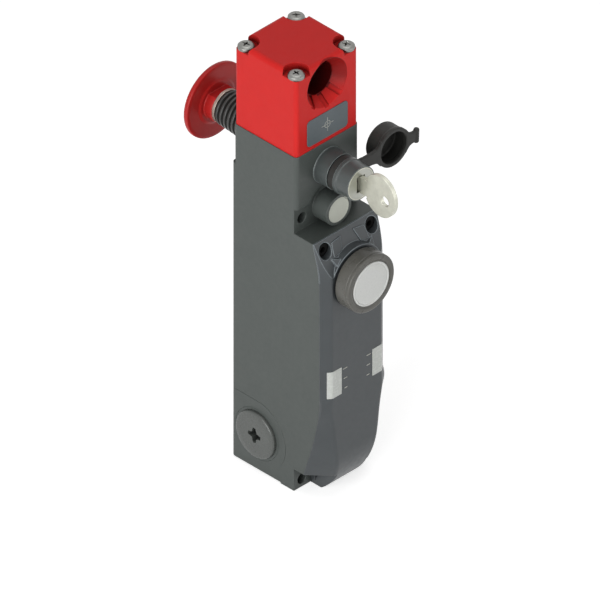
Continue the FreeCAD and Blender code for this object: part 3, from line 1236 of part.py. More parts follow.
def contact_block():
    """Switch insert behind the button, clipped against the solenoid yoke's front edge."""
    front_y = out(CONTACT_FRONT_REACH)
    z = up(BUTTON_HEIGHT)
    half = CONTACT_HEIGHT / 2
    shape = block((-CONTACT_HALF_WIDTH, CONTACT_HALF_WIDTH), (CONTACT_REAR_Y, front_y),
                  (z - half, z + half))
    for side in (-1, 1):
        ear = block((side * CONTACT_HALF_WIDTH, side * COVER_CAVITY_HALF),
                    (CONTACT_REAR_Y, CONTACT_REAR_Y - CONTACT_EAR), (z - half, z + half))
        shape = shape.fuse(ear)
    return shape.removeSplitter()


# ---- conduit plugs ---------------------------------------------------------------------
def conduit_plug(name):
    """Blanking plug with a cross recess, for one side entry."""
    start, axis, wall = entry_centres()[name]
    floor = start + axis * ENTRY_RECESS_DEPTH
    face = floor - axis * (SEAL_THICKNESS + PLUG_HEAD_THICKNESS)
    back_rim = (PLUG_HEAD_THICKNESS, PLUG_HEAD_RADIUS)
    rim = eased((0, 0), (0, PLUG_HEAD_RADIUS), back_rim, PLUG_EDGE_ROUND)
    head = turned([(0, 0)] + rim + [back_rim, (PLUG_HEAD_THICKNESS, 0)], face, axis)
    shank = rod(ENTRY_RADIUS, face, axis, PLUG_HEAD_THICKNESS + SEAL_THICKNESS + wall - ENTRY_RECESS_DEPTH)
    recess = cross_recess(PLUG_CROSS_ARM, PLUG_CROSS_WIDTH, PLUG_CROSS_DEPTH, (face.x, face.y, face.z), "x")
    return joined(head, shank).cut(recess)


def plug_seal(name):
    start, axis, _ = entry_centres()[name]
    return tube(SEAL_RADIUS, ENTRY_RADIUS, start + axis * ENTRY_RECESS_DEPTH, -axis, SEAL_THICKNESS)


# ---- escape release --------------------------------------------------------------------
def escape_bush():
    """Plain bearing of the escape shaft in the rear wall."""
    z = up(LOCK_HEIGHT)
    return tube(ESCAPE_BUSH_RADIUS, SHAFT_RADIUS + RUNNING_GAP, Vector(0, CHAMBER_REAR_Y, z), Y_AXIS,
                CHAMBER_REAR_WALL)


def escape_shaft():
    """Shaft from the knob to the forked wedge that straddles the locking bolt."""
    z = up(LOCK_HEIGHT)
    shaft = rod(SHAFT_RADIUS, Vector(0, FORK_ROOT_Y, z), Y_AXIS, KNOB_HUB_Y - FORK_ROOT_Y)
    fork = block((-FORK_HALF_WIDTH, FORK_HALF_WIDTH), (FORK_TIP_Y, FORK_ROOT_Y),
                 (z - FORK_HALF_HEIGHT, z + FORK_HALF_HEIGHT))
    tip = [edge for edge in fork.Edges if abs(edge.BoundBox.YMax - FORK_TIP_Y) < 1e-6
           and abs(edge.BoundBox.ZMax - z + FORK_HALF_HEIGHT) < 1e-6 and edge.BoundBox.XLength > 1]
    fork = fork.makeChamfer(FORK_WEDGE, tip)
    gap = BOLT_RADIUS + SLIDING_GAP
    mouth = block((-gap, gap), (FORK_TIP_Y - 1, BOLT_Y + BOLT_RADIUS + ESCAPE_TRAVEL),
                  (z - 2 * FORK_HALF_HEIGHT, z + 2 * FORK_HALF_HEIGHT))
    return joined(shaft, fork).cut(mouth)


def bellows():
    """Ribbed rubber bellows, slightly conical, between the body and the washer."""
    z = up(LOCK_HEIGHT)
    pitch = BELLOWS_LENGTH / BELLOWS_RIBS
    outer = []
    inner = []
    for rib in range(BELLOWS_RIBS + 1):
        y = UPPER_REAR_Y + rib * pitch
        crest = BELLOWS_BASE_RADIUS + (BELLOWS_END_RADIUS - BELLOWS_BASE_RADIUS) * rib / BELLOWS_RIBS
        root = crest - BELLOWS_RIB_DEPTH
        outer.append((y, root))
        if rib < BELLOWS_RIBS:
            outer.append((y + pitch * 0.3, crest))
            outer.append((y + pitch * 0.7, crest))
        inner.append((y, root - BELLOWS_WALL))
    return turned_y(outer + inner[::-1], 0, z)


def knob_washer():
    z = up(LOCK_HEIGHT)
    return tube(WASHER_RADIUS, SHAFT_RADIUS, Vector(0, BELLOWS_END_Y, z), Y_AXIS, WASHER_THICKNESS)


def escape_knob():
    """Mushroom knob with a flatted hub."""
    z = up(LOCK_HEIGHT)
    disc_y = KNOB_FACE_Y - KNOB_THICKNESS
    hub = rod(HUB_RADIUS, Vector(0, KNOB_HUB_Y, z), Y_AXIS, HUB_LENGTH)
    hub = hub.common(block((-HUB_RADIUS, HUB_RADIUS), (KNOB_HUB_Y, disc_y), (z - HUB_FLAT, z + HUB_FLAT)))
    back, front = (disc_y, KNOB_RADIUS), (KNOB_FACE_Y, KNOB_RADIUS)
    outline = [(disc_y, 0)] + eased((disc_y, 0), back, front, KNOB_EDGE_ROUND)
    outline += eased(back, front, (KNOB_FACE_Y, 0), KNOB_EDGE_ROUND) + [(KNOB_FACE_Y, 0)]
    shape = joined(hub, turned_y(outline, 0, z))
    shape = shape.cut(rod(KNOB_SCREW_RADIUS, Vector(0, KNOB_HUB_Y - 1, z), Y_AXIS,
                          KNOB_FACE_Y - KNOB_HUB_Y))
    return shape.cut(rod(KNOB_SCREW_HEAD_RADIUS, Vector(0, knob_screw_seat(), z), Y_AXIS, KNOB_THICKNESS))


def knob_screw_seat():
    return KNOB_FACE_Y - KNOB_SCREW_SUNK - KNOB_SCREW_HEAD_LENGTH


def knob_screw():
    """Screw from the knob's outer face into the shaft's end."""
    z = up(LOCK_HEIGHT)
    seat_y = knob_screw_seat()
    head = rod(KNOB_SCREW_HEAD_RADIUS, Vector(0, seat_y, z), Y_AXIS, KNOB_SCREW_HEAD_LENGTH)
    shank = rod(KNOB_SCREW_RADIUS, Vector(0, seat_y, z), -Y_AXIS, seat_y - KNOB_HUB_Y)
    recess = cross_recess(SCREW_CROSS_ARM, SCREW_CROSS_WIDTH, SCREW_CROSS_DEPTH,
                          (0, seat_y + KNOB_SCREW_HEAD_LENGTH, z), "y")
    return joined(head, shank).cut(recess)


# ---- electronics -----------------------------------------------------------------------
def main_board():
    front = -REAR_WALL - STANDOFF - BOARD_THICKNESS
    return block((-MAIN_BOARD_HALF_WIDTH, MAIN_BOARD_HALF_WIDTH), (front, front + BOARD_THICKNESS),
                 (up(MAIN_BOARD_BOTTOM), up(MAIN_BOARD_TOP)))


def terminal_block():
    """Row of screw terminals on the main board."""
    board_front = -REAR_WALL - STANDOFF - BOARD_THICKNESS
    half = TERMINAL_POLES * TERMINAL_PITCH / 2
    entry = TERMINAL_PITCH / 3
    front = board_front - TERMINAL_DEPTH
    bottom = MAIN_BOARD_BOTTOM + TERMINAL_ABOVE_EDGE
    middle = bottom + TERMINAL_HEIGHT / 2
    shape = block((-half, half), (front, board_front), (up(bottom), up(bottom + TERMINAL_HEIGHT)))
    for pole in range(TERMINAL_POLES):
        x = -half + (pole + 0.5) * TERMINAL_PITCH
        screw_hole = rod(entry, Vector(x, front - 1, up(middle)), Y_AXIS, entry + 1)
        wire_hole = block((x - entry, x + entry),
                          (front + TERMINAL_DEPTH / 3, front + 2 * TERMINAL_DEPTH / 3),
                          (up(bottom) - 1, up(bottom + entry)))
        shape = shape.cut(screw_hole).cut(wire_hole)
    return shape


def lamp_board():
    back_y = out(LAMP_BOARD_REACH) + BOARD_THICKNESS
    return block((-LAMP_BOARD_HALF_WIDTH, LAMP_BOARD_HALF_WIDTH), (out(LAMP_BOARD_REACH), back_y),
                 (up(LAMP_BOARD_BOTTOM), up(LAMP_BOARD_TOP)))


# ---- every node ------------------------------------------------------------------------
def all_pieces():
    return {
        "body_housing": body_housing(),
        "front_cover": front_cover(),
        "cover_gasket": cover_gasket(),
        "cover_screws": cover_screws(),
        "left_light_guide": light_guide(-1),
        "right_light_guide": light_guide(1),
        "head_housing": head_housing(),
        "head_gasket": head_gasket(),
        "head_screws": head_screws(),
        "mark_plate": mark_plate(),
        "antenna_board": antenna_board(),
        "antenna_coil": antenna_coil(),
        "bolt_bush": bolt_bush(),
        "locking_bolt": locking_bolt(),
        "bolt_slider": bolt_slider(),
        "solenoid_plunger": solenoid_plunger(),
        "plunger_spring": plunger_spring(),
        "solenoid_coil": solenoid_coil(),
        "solenoid_yoke": solenoid_yoke(),
        "lock_housing": lock_housing(),
        "lock_barrel": lock_barrel(),
        "key_cam": key_cam(),
        "key": key(),
        "strap_ring": strap_ring(),
        "dust_cap": dust_cap(),
        "release_plug": release_plug(),
        "release_screw": release_screw(),
        "button_bezel": button_bezel(),
        "button_seal": button_seal(),
        "button_nut": button_nut(),
        "button_lens": button_lens(),
        "button_stem": button_stem(),
        "button_spring": button_spring(),
        "contact_block": contact_block(),
        "left_conduit_plug": conduit_plug("left"),
        "left_plug_seal": plug_seal("left"),
        "right_conduit_plug": conduit_plug("right"),
        "right_plug_seal": plug_seal("right"),
        "escape_bush": escape_bush(),
        "escape_shaft": escape_shaft(),
        "bellows": bellows(),
        "knob_washer": knob_washer(),
        "escape_knob": escape_knob(),
        "knob_screw": knob_screw(),
        "main_board": main_board(),
        "terminal_block": terminal_block(),
        "lamp_board": lamp_board(),
    }


os.makedirs("parts", exist_ok=True)
for name, shape in all_pieces().items():
    shape.exportStep("parts/" + name + ".step")
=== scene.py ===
"""Looks of the interlock switch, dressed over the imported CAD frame.

The scene is in metres, in the part's own frame: +Z is up and the front looks along -Y.
Sizes below are millimetres, as in the part's source, and meshes are scaled when they are made.
"""

import math

import bmesh
import bpy
from mathutils import Matrix, Vector


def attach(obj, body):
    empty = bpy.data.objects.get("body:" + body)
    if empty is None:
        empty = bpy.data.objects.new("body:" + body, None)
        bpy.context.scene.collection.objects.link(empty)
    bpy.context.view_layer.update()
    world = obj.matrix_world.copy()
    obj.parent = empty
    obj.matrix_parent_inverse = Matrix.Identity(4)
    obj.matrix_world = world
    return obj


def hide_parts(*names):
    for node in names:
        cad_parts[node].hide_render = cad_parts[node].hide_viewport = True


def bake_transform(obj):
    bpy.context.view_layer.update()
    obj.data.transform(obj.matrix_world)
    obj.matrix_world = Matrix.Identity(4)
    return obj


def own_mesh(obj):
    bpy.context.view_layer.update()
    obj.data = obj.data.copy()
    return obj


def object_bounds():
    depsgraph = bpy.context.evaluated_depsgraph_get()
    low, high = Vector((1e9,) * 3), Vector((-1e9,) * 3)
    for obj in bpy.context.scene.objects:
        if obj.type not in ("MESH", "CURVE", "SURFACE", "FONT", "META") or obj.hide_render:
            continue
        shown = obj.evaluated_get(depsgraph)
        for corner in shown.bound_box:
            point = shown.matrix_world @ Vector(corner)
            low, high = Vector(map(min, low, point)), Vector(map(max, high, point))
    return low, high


MM = 0.001
X, Y, Z = Vector((1, 0, 0)), Vector((0, 1, 0)), Vector((0, 0, 1))

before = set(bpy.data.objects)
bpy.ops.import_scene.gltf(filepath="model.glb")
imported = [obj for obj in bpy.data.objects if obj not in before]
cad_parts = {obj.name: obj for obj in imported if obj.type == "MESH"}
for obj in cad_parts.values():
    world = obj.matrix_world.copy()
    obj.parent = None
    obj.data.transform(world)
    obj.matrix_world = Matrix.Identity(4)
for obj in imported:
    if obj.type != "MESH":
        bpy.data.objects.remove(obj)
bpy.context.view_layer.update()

# ---- camera: a parallel view from the front left and above -------------------------------
CAMERA_DIRECTION = Vector((-1, -1, 1)).normalized()
CAMERA_TARGET = Vector((1.2, -22.5, 9.7)) * MM
CAMERA_SPAN = 270.6 * MM
CAMERA_DISTANCE = 1.5

# ---- places and sizes of the part that the detailed pieces fit ---------------------------
FRONT_Y = -41.3             # the body's front plane; a reach is measured forward from it
BELOW_ALL, ABOVE_ALL = -100.0, 200.0

HEAD_MIDDLE_Y = -21.3
HEAD_HALF = 19.7
HEAD_CORNER = 2.0
HEAD_BASE = 108.3
HEAD_BACK_Y = -2.2          # just inside the head's rear face
GASKET_THICKNESS = 0.8

SCREW_SEAT_Z = 149.0
SCREW_OFFSET = 16.0
SCREW_SHANK_RADIUS = 1.85
SCREW_SHANK_LENGTH = 30.0
SCREW_HEAD_RADIUS = 3.95
SCREW_CROSS_ARM, SCREW_CROSS_WIDTH = 2.2, 0.85

BORE_Z = 139.5
FUNNEL_RADIUS = 12.75       # a little more than the funnel's mouth
FUNNEL_START_Y = -41.25     # just ahead of the head's front face
FUNNEL_END_Y = -35.6        # about where the cone meets the straight bore
FUNNEL_SHADE_Z = 133.0      # the cone lies in shade from here upwards
BORE_SHADE = 0.25           # the straight bore's share of the cone's shade

PLATE_FRONT_Y = -41.3
PLATE_Z = 116.9
MARK_SUNK = 0.12            # foot of the mark's lines below the plate's face
MARK_THICKNESS = 0.09
MARK_RING = (1.60, 1.90)    # inner and outer radius
MARK_ARM = 3.75
MARK_HALF_LINE = 0.15

LEDGE_Z = 65.5
SLOPE_DROP = 17.0           # from the ledge down to where the front goes flat
SLOPE_TOP_REACH, SLOPE_FOOT_REACH = 11.0, 18.7
GUIDE_ROWS = (-4.8, -10.2, -15.6)   # heights of the marks beside the light guides

BELLOWS_START, BELLOWS_END = -1.3, 22.7
BELLOWS_RIBS = 9
BELLOWS_BASE_RADIUS, BELLOWS_END_RADIUS = 10.2, 8.6
BELLOWS_RIB_DEPTH = 1.55
KNOB_HUB_Y, KNOB_DISC_Y, KNOB_FACE_Y = 24.2, 28.9, 32.9
KNOB_RADIUS = 19.1
KNOB_WELL_RADIUS, KNOB_WELL_DEPTH = 3.75, 2.4
HUB_RADIUS, HUB_FLAT = 8.7, 6.6     # the flats lie this far above and below the axis

LOCK_Z = 94.5
LOCK_SHANK_RADIUS = 8.0
LOCK_BASE_RADIUS = 9.0
LOCK_NOSE_RADIUS = 8.6
LOCK_NOSE_REACH = 21.2
BARREL_RADIUS = 6.06        # with its clearance, like the next one
BARREL_FACE_RADIUS = 7.76
BARREL_FACE_REACH = 19.6
STRAP_GROOVE_RADIUS = 7.0
STRAP_GROOVE = (8.1, 11.9)  # reaches of its two walls

KEY_THICKNESS = 2.0
KEY_BLADE_HALF, KEY_NECK_HALF = 4.0, 4.4
KEY_BLADE_REACH, KEY_NECK_REACH = 21.5, 26.8
KEY_BOW_REACH = 34.2
KEY_BOW_HALF_LENGTH, KEY_BOW_HALF_HEIGHT = 9.8, 11.0
KEY_HOLE_REACH, KEY_HOLE_DROP = 37.3, 1.4
KEY_HOLE_RADIUS = 2.7
KEY_GROOVE_LENGTH, KEY_GROOVE_WIDTH, KEY_GROOVE_DEPTH = 20.5, 1.2, 0.55

STRAP_REACH = 10.0          # middle of the strap's thickness
STRAP_THICKNESS = 1.7
STRAP_DROOP = 2.4           # degrees about the lock
STRAP_RING_RADIUS = 8.7
CAP_X = 31.7
CAP_RADIUS = 9.65
TAB_BEAD_X = 46.55
TAB_BEAD_RADIUS, TAB_BEAD_HALF = 1.4, 3.7
RUBBER_VOXEL = 0.26         # the cap is remeshed as one skin at this size

RELEASE_CENTRE = Vector((-0.4, FRONT_Y, 73.5))
RELEASE_SEAT, RELEASE_REACH = 5.6, 7.6
RELEASE_RADIUS = 6.4
RELEASE_TAB_REACH, RELEASE_TAB_HALF = 7.1, 1.25

BUTTON_Z = 42.5
COVER_HIGHLIGHT_Z = 46.0         # the cover's edges carry a painted highlight from here upwards
BEZEL_BARREL_RADIUS = 11.0
BEZEL_BARREL_END = 7.0
BEZEL_SEAT = 19.5
BEZEL_RADIUS = 14.75
BEZEL_REACH = 28.0
BEZEL_GROOVE = 26.0
LENS_WELL_RADIUS, LENS_WELL_FLOOR = 11.31, 20.4
STEM_BORE_RADIUS = 8.06
LENS_RADIUS = 11.2
LENS_BACK, LENS_REACH = 24.15, 28.1

ENTRY_CENTRE = Vector((20.0, -16.3, -56.7))
ENTRY_RECESS_DEPTH = 1.4
ENTRY_RING_RADII = (11.0, 13.45)
PLUG_SHANK_RADIUS, PLUG_SHANK_LENGTH = 9.15, 4.8
PLUG_HEAD_RADIUS = 12.3
PLUG_CROSS_ARM, PLUG_CROSS_WIDTH = 4.1, 2.5


# ---- studio ------------------------------------------------------------------------------
def add_camera():
    """Parallel camera on the photograph's line of sight."""
    data = bpy.data.cameras.new("camera")
    data.type = "ORTHO"
    data.ortho_scale = CAMERA_SPAN
    data.clip_start, data.clip_end = 0.01, 20
    camera = bpy.data.objects.new("camera", data)
    camera.location = CAMERA_TARGET + CAMERA_DIRECTION * CAMERA_DISTANCE
    camera.rotation_euler = (-CAMERA_DIRECTION).to_track_quat("-Z", "Y").to_euler()
    bpy.context.scene.collection.objects.link(camera)
    bpy.context.scene.camera = camera


def add_lamp(name, place, target, width, power):
    """Square softbox at a place in metres, turned to its target."""
    data = bpy.data.lights.new(name, "AREA")
    data.shape = "SQUARE"
    data.size = width
    data.energy = power
    lamp = bpy.data.objects.new(name, data)
    lamp.location = place
    lamp.rotation_euler = (Vector(target) - Vector(place)).to_track_quat("-Z", "Y").to_euler()
    bpy.context.scene.collection.objects.link(lamp)


def seen_directly(tree):
    """1 for rays from the camera and for those that show the surroundings in metal or glass."""
    path = tree.nodes.new("ShaderNodeLightPath")
    seen = path.outputs["Is Camera Ray"]
    for name in ("Is Glossy Ray", "Is Transmission Ray"):
        either = tree.nodes.new("ShaderNodeMath")
        either.operation = "MAXIMUM"
        tree.links.new(seen, either.inputs[0])
        tree.links.new(path.outputs[name], either.inputs[1])
        seen = either.outputs[0]
    return seen


def add_world(ambient, shown):
    """White surroundings, dim as a light and brighter where they are seen directly."""
    world = bpy.data.worlds.new("studio")
    bpy.context.scene.world = world
    world.use_nodes = True
    tree = world.node_tree
    background = tree.nodes["Background"]
    background.inputs["Color"].default_value = (1, 1, 1, 1)
    strength = tree.nodes.new("ShaderNodeMapRange")
    strength.inputs["To Min"].default_value = ambient
    strength.inputs["To Max"].default_value = shown
    tree.links.new(seen_directly(tree), strength.inputs["Value"])
    tree.links.new(strength.outputs["Result"], background.inputs["Strength"])


def add_floor(height, lift):
    """Pale paper that keeps the shadow and looks white from the camera."""
    half = 3.0
    mesh = bpy.data.meshes.new("floor")
    corners = [(-half, -half, height), (half, -half, height), (half, half, height), (-half, half, height)]
    mesh.from_pydata(corners, [], [(0, 1, 2, 3)])
    floor = bpy.data.objects.new("floor", mesh)
    bpy.context.scene.collection.objects.link(floor)
    material = bpy.data.materials.new("floor_paper")
    material.use_nodes = True
    tree = material.node_tree
    surface = tree.nodes["Principled BSDF"]
    surface.inputs["Base Color"].default_value = (0.86, 0.86, 0.86, 1)
    surface.inputs["Roughness"].default_value = 0.9
    surface.inputs["Specular IOR Level"].default_value = 0.0
    surface.inputs["Emission Color"].default_value = (1, 1, 1, 1)
    glow = tree.nodes.new("ShaderNodeMath")
    glow.operation = "MULTIPLY"
    glow.inputs[1].default_value = lift
    tree.links.new(seen_directly(tree), glow.inputs[0])
    tree.links.new(glow.outputs[0], surface.inputs["Emission Strength"])
    mesh.materials.append(material)


# ---- materials ---------------------------------------------------------------------------
class Finish:
    """Builds one procedural material step by step."""

    def __init__(self, name, metallic=0.0, specular=0.5):
        self.material = bpy.data.materials.new(name)
        self.material.use_nodes = True
        self.tree = self.material.node_tree
        self.surface = self.tree.nodes["Principled BSDF"]
        self.surface.inputs["Metallic"].default_value = metallic
        self.surface.inputs["Specular IOR Level"].default_value = specular
        self.place = self.node("ShaderNodeTexCoord").outputs["Object"]
        self.normal = None
        self.parts = None

    def node(self, kind, **values):
        made = self.tree.nodes.new(kind)
        for name, value in values.items():
            setattr(made, name, value)
        return made

    def link(self, source, target):
        self.tree.links.new(source, target)

    def noise(self, size, detail=3.0, roughness=0.5, stretch=None):
        """Noise whose features are about this size, in millimetres."""
        texture = self.node("ShaderNodeTexNoise")
        texture.inputs["Scale"].default_value = 1 / (size * MM)
        texture.inputs["Detail"].default_value = detail
        texture.inputs["Roughness"].default_value = roughness
        place = self.place
        if stretch:
            mapping = self.node("ShaderNodeMapping")
            mapping.inputs["Scale"].default_value = stretch
            self.link(place, mapping.inputs["Vector"])
            place = mapping.outputs["Vector"]
        self.link(place, texture.inputs["Vector"])
        return texture.outputs["Fac"]

    def spread(self, value, low, high, start=0.3, end=0.7):
        """Map a value from start..end to low..high."""
        ramp = self.node("ShaderNodeMapRange")
        for name, number in (("From Min", start), ("From Max", end), ("To Min", low), ("To Max", high)):
            ramp.inputs[name].default_value = number
        self.link(value, ramp.inputs["Value"])
        return ramp.outputs["Result"]

    def blend(self, factor, first, second):
        """Mix two colours, each a tuple or another node's output."""
        mix = self.node("ShaderNodeMix", data_type="RGBA")
        for socket, colour in (("A", first), ("B", second)):
            if isinstance(colour, tuple):
                mix.inputs[socket].default_value = (*colour, 1)
            else:
                self.link(colour, mix.inputs[socket])
        self.link(factor, mix.inputs["Factor"])
        return mix.outputs["Result"]

    def hollow_shade(self, colour, reach, depth):
        """Paint shade into a colour where the surface is closed in by others within a reach in millimetres.
        """
        open_sky = self.node("ShaderNodeAmbientOcclusion", samples=8)
        open_sky.inputs["Distance"].default_value = reach * MM
        factor = self.spread(open_sky.outputs["AO"], 1.0, 0.0, 0.15, 0.85)
        darkened = self.node("ShaderNodeMix", data_type="RGBA", blend_type="MULTIPLY")
        self.link(colour, darkened.inputs["A"])
        darkened.inputs["B"].default_value = (depth, depth, depth, 1)
        self.link(factor, darkened.inputs["Factor"])
        return darkened.outputs["Result"]

    def within(self, axis, low, high, soft=0.3):
        """1 between two places along an axis of the part, in millimetres, fading over a soft border."""
        if not self.parts:
            self.parts = self.node("ShaderNodeSeparateXYZ")
            self.link(self.place, self.parts.inputs[0])
        rise = self.spread(self.parts.outputs[axis], 0, 1, (low - soft) * MM, (low + soft) * MM)
        fall = self.spread(self.parts.outputs[axis], 1, 0, (high - soft) * MM, (high + soft) * MM)
        return self.times(rise, fall)

    def around(self, centre, weights, radius):
        """1 within a radius of a line through the centre, in millimetres; weights leave out its direction."""
        offset = self.node("ShaderNodeVectorMath", operation="SUBTRACT")
        self.link(self.place, offset.inputs[0])
        offset.inputs[1].default_value = Vector(centre) * MM
        flat = self.node("ShaderNodeVectorMath", operation="MULTIPLY")
        self.link(offset.outputs["Vector"], flat.inputs[0])
        flat.inputs[1].default_value = weights
        length = self.node("ShaderNodeVectorMath", operation="LENGTH")
        self.link(flat.outputs["Vector"], length.inputs[0])
        return self.spread(length.outputs["Value"], 1, 0, (radius - 0.1) * MM, (radius + 0.1) * MM)

    def times(self, first, second):
        product = self.node("ShaderNodeMath", operation="MULTIPLY")
        self.link(first, product.inputs[0])
        self.link(second, product.inputs[1])
        return product.outputs[0]

    def paint(self, colour):
        self.link(colour, self.surface.inputs["Base Color"])

    def rough(self, value):
        self.link(value, self.surface.inputs["Roughness"])

    def soften(self, radius):
        """Round the look of sharp edges by this radius, in millimetres."""
        bevel = self.node("ShaderNodeBevel", samples=8)
        bevel.inputs["Radius"].default_value = radius * MM
        self.normal = bevel.outputs["Normal"]
        self.link(self.normal, self.surface.inputs["Normal"])

    def edges(self, reach=0.12):
        """0 on flat surfaces, rising to 1 on sharp edges, where a highlight is painted; needs the softened
        normal.
        """
        true_normal = self.node("ShaderNodeNewGeometry").outputs["Normal"]
        product = self.node("ShaderNodeVectorMath", operation="DOT_PRODUCT")
        self.link(true_normal, product.inputs[0])
        self.link(self.normal, product.inputs[1])
        return self.spread(product.outputs["Value"], 1.0, 0.0, 1 - reach, 0.995)

    def bump(self, height, depth):
        """Raise the surface by a 0 to 1 height times a depth in millimetres."""
        relief = self.node("ShaderNodeBump")
        relief.inputs["Distance"].default_value = depth * MM
        self.link(height, relief.inputs["Height"])
        if self.normal:
            self.link(self.normal, relief.inputs["Normal"])
        self.normal = relief.outputs["Normal"]
        self.link(self.normal, self.surface.inputs["Normal"])


def tint(colour, amount):
    """The colour times an amount, with no part above 1."""
    return tuple(min(1.0, part * amount) for part in colour)


def coated(name, colour, roughness, grain, depth, edge=0.3, variation=0.04, edge_highlight=1.25, specular=0.4,
           hollow_shade=0.55, reach=8.0, edge_highlight_above=BELOW_ALL, entry=None):
    """Painted or moulded surface: fine grain, faint mottling, a painted highlight on sharp edges and painted
    shade in closed-in places.

    Grain, depth, edge and reach are millimetres; reach is how far the painted shade looks for surfaces close
    by. With the funnel factor, the funnel gets painted shade, darkened by that factor.
    """
    finish = Finish(name, specular=specular)
    mottled = finish.blend(finish.spread(finish.noise(9.0, 4), 0, 1),
                           tint(colour, 1 - variation), tint(colour, 1 + variation))
    finish.soften(edge)
    # painted highlight: sharp edges are brightened, only above the given height
    edge_highlight_mask = finish.times(finish.edges(), finish.within("Z", edge_highlight_above, ABOVE_ALL))
    colour_map = finish.blend(edge_highlight_mask, mottled, tint(colour, edge_highlight))
    # painted shade inside the funnel's cone and its straight bore
    if entry:
        inside = finish.around((0, 0, BORE_Z), (1, 0, 1), FUNNEL_RADIUS)
        cone = finish.times(inside, finish.within("Y", FUNNEL_START_Y, HEAD_BACK_Y, 0.03))
        upper = finish.times(cone, finish.within("Z", FUNNEL_SHADE_Z, ABOVE_ALL, 4.0))
        bore = finish.times(inside, finish.within("Y", FUNNEL_END_Y, HEAD_BACK_Y))
        colour_map = finish.blend(upper, colour_map, tint(colour, entry))
        colour_map = finish.blend(bore, colour_map, tint(colour, entry * BORE_SHADE))
    # painted shade: the colour darkens where ambient occlusion finds other surfaces close by
    finish.paint(finish.hollow_shade(colour_map, reach, hollow_shade))
    finish.rough(finish.spread(finish.noise(2.5), roughness - 0.05, roughness + 0.06))
    finish.bump(finish.noise(grain, 2), depth)
    return finish.material


def metal(name, colour, roughness, brush=None, edge=0.2):
    """Bare metal, faintly mottled; brush stretches a fine grain along one axis."""
    finish = Finish(name, metallic=1.0)
    mottling = finish.spread(finish.noise(3.0, 4), 0, 1)
    finish.paint(finish.blend(mottling, tint(colour, 0.92), tint(colour, 1.06)))
    finish.rough(finish.spread(finish.noise(1.0), roughness - 0.06, roughness + 0.08))
    finish.soften(edge)
    if brush:
        finish.bump(finish.noise(0.25, 2, 0.6, brush), 0.02)
    return finish.material


def milky(name, colour, roughness, depth):
    """Frosted light-scattering plastic with a fine prismatic grain."""
    finish = Finish(name, specular=0.4)
    finish.surface.inputs["Subsurface Weight"].default_value = 0.35
    finish.surface.inputs["Subsurface Radius"].default_value = (1.2 * MM, 1.2 * MM, 1.1 * MM)
    finish.surface.inputs["Subsurface Scale"].default_value = 1.0
    finish.soften(0.25)
    mottling = finish.spread(finish.noise(0.9, 4, 0.7), 0, 1)
    finish.paint(finish.blend(mottling, tint(colour, 0.95), tint(colour, 1.04)))
    finish.rough(finish.spread(finish.noise(1.5), roughness - 0.06, roughness + 0.06))
    finish.bump(finish.noise(0.45, 3), depth)
    return finish.material


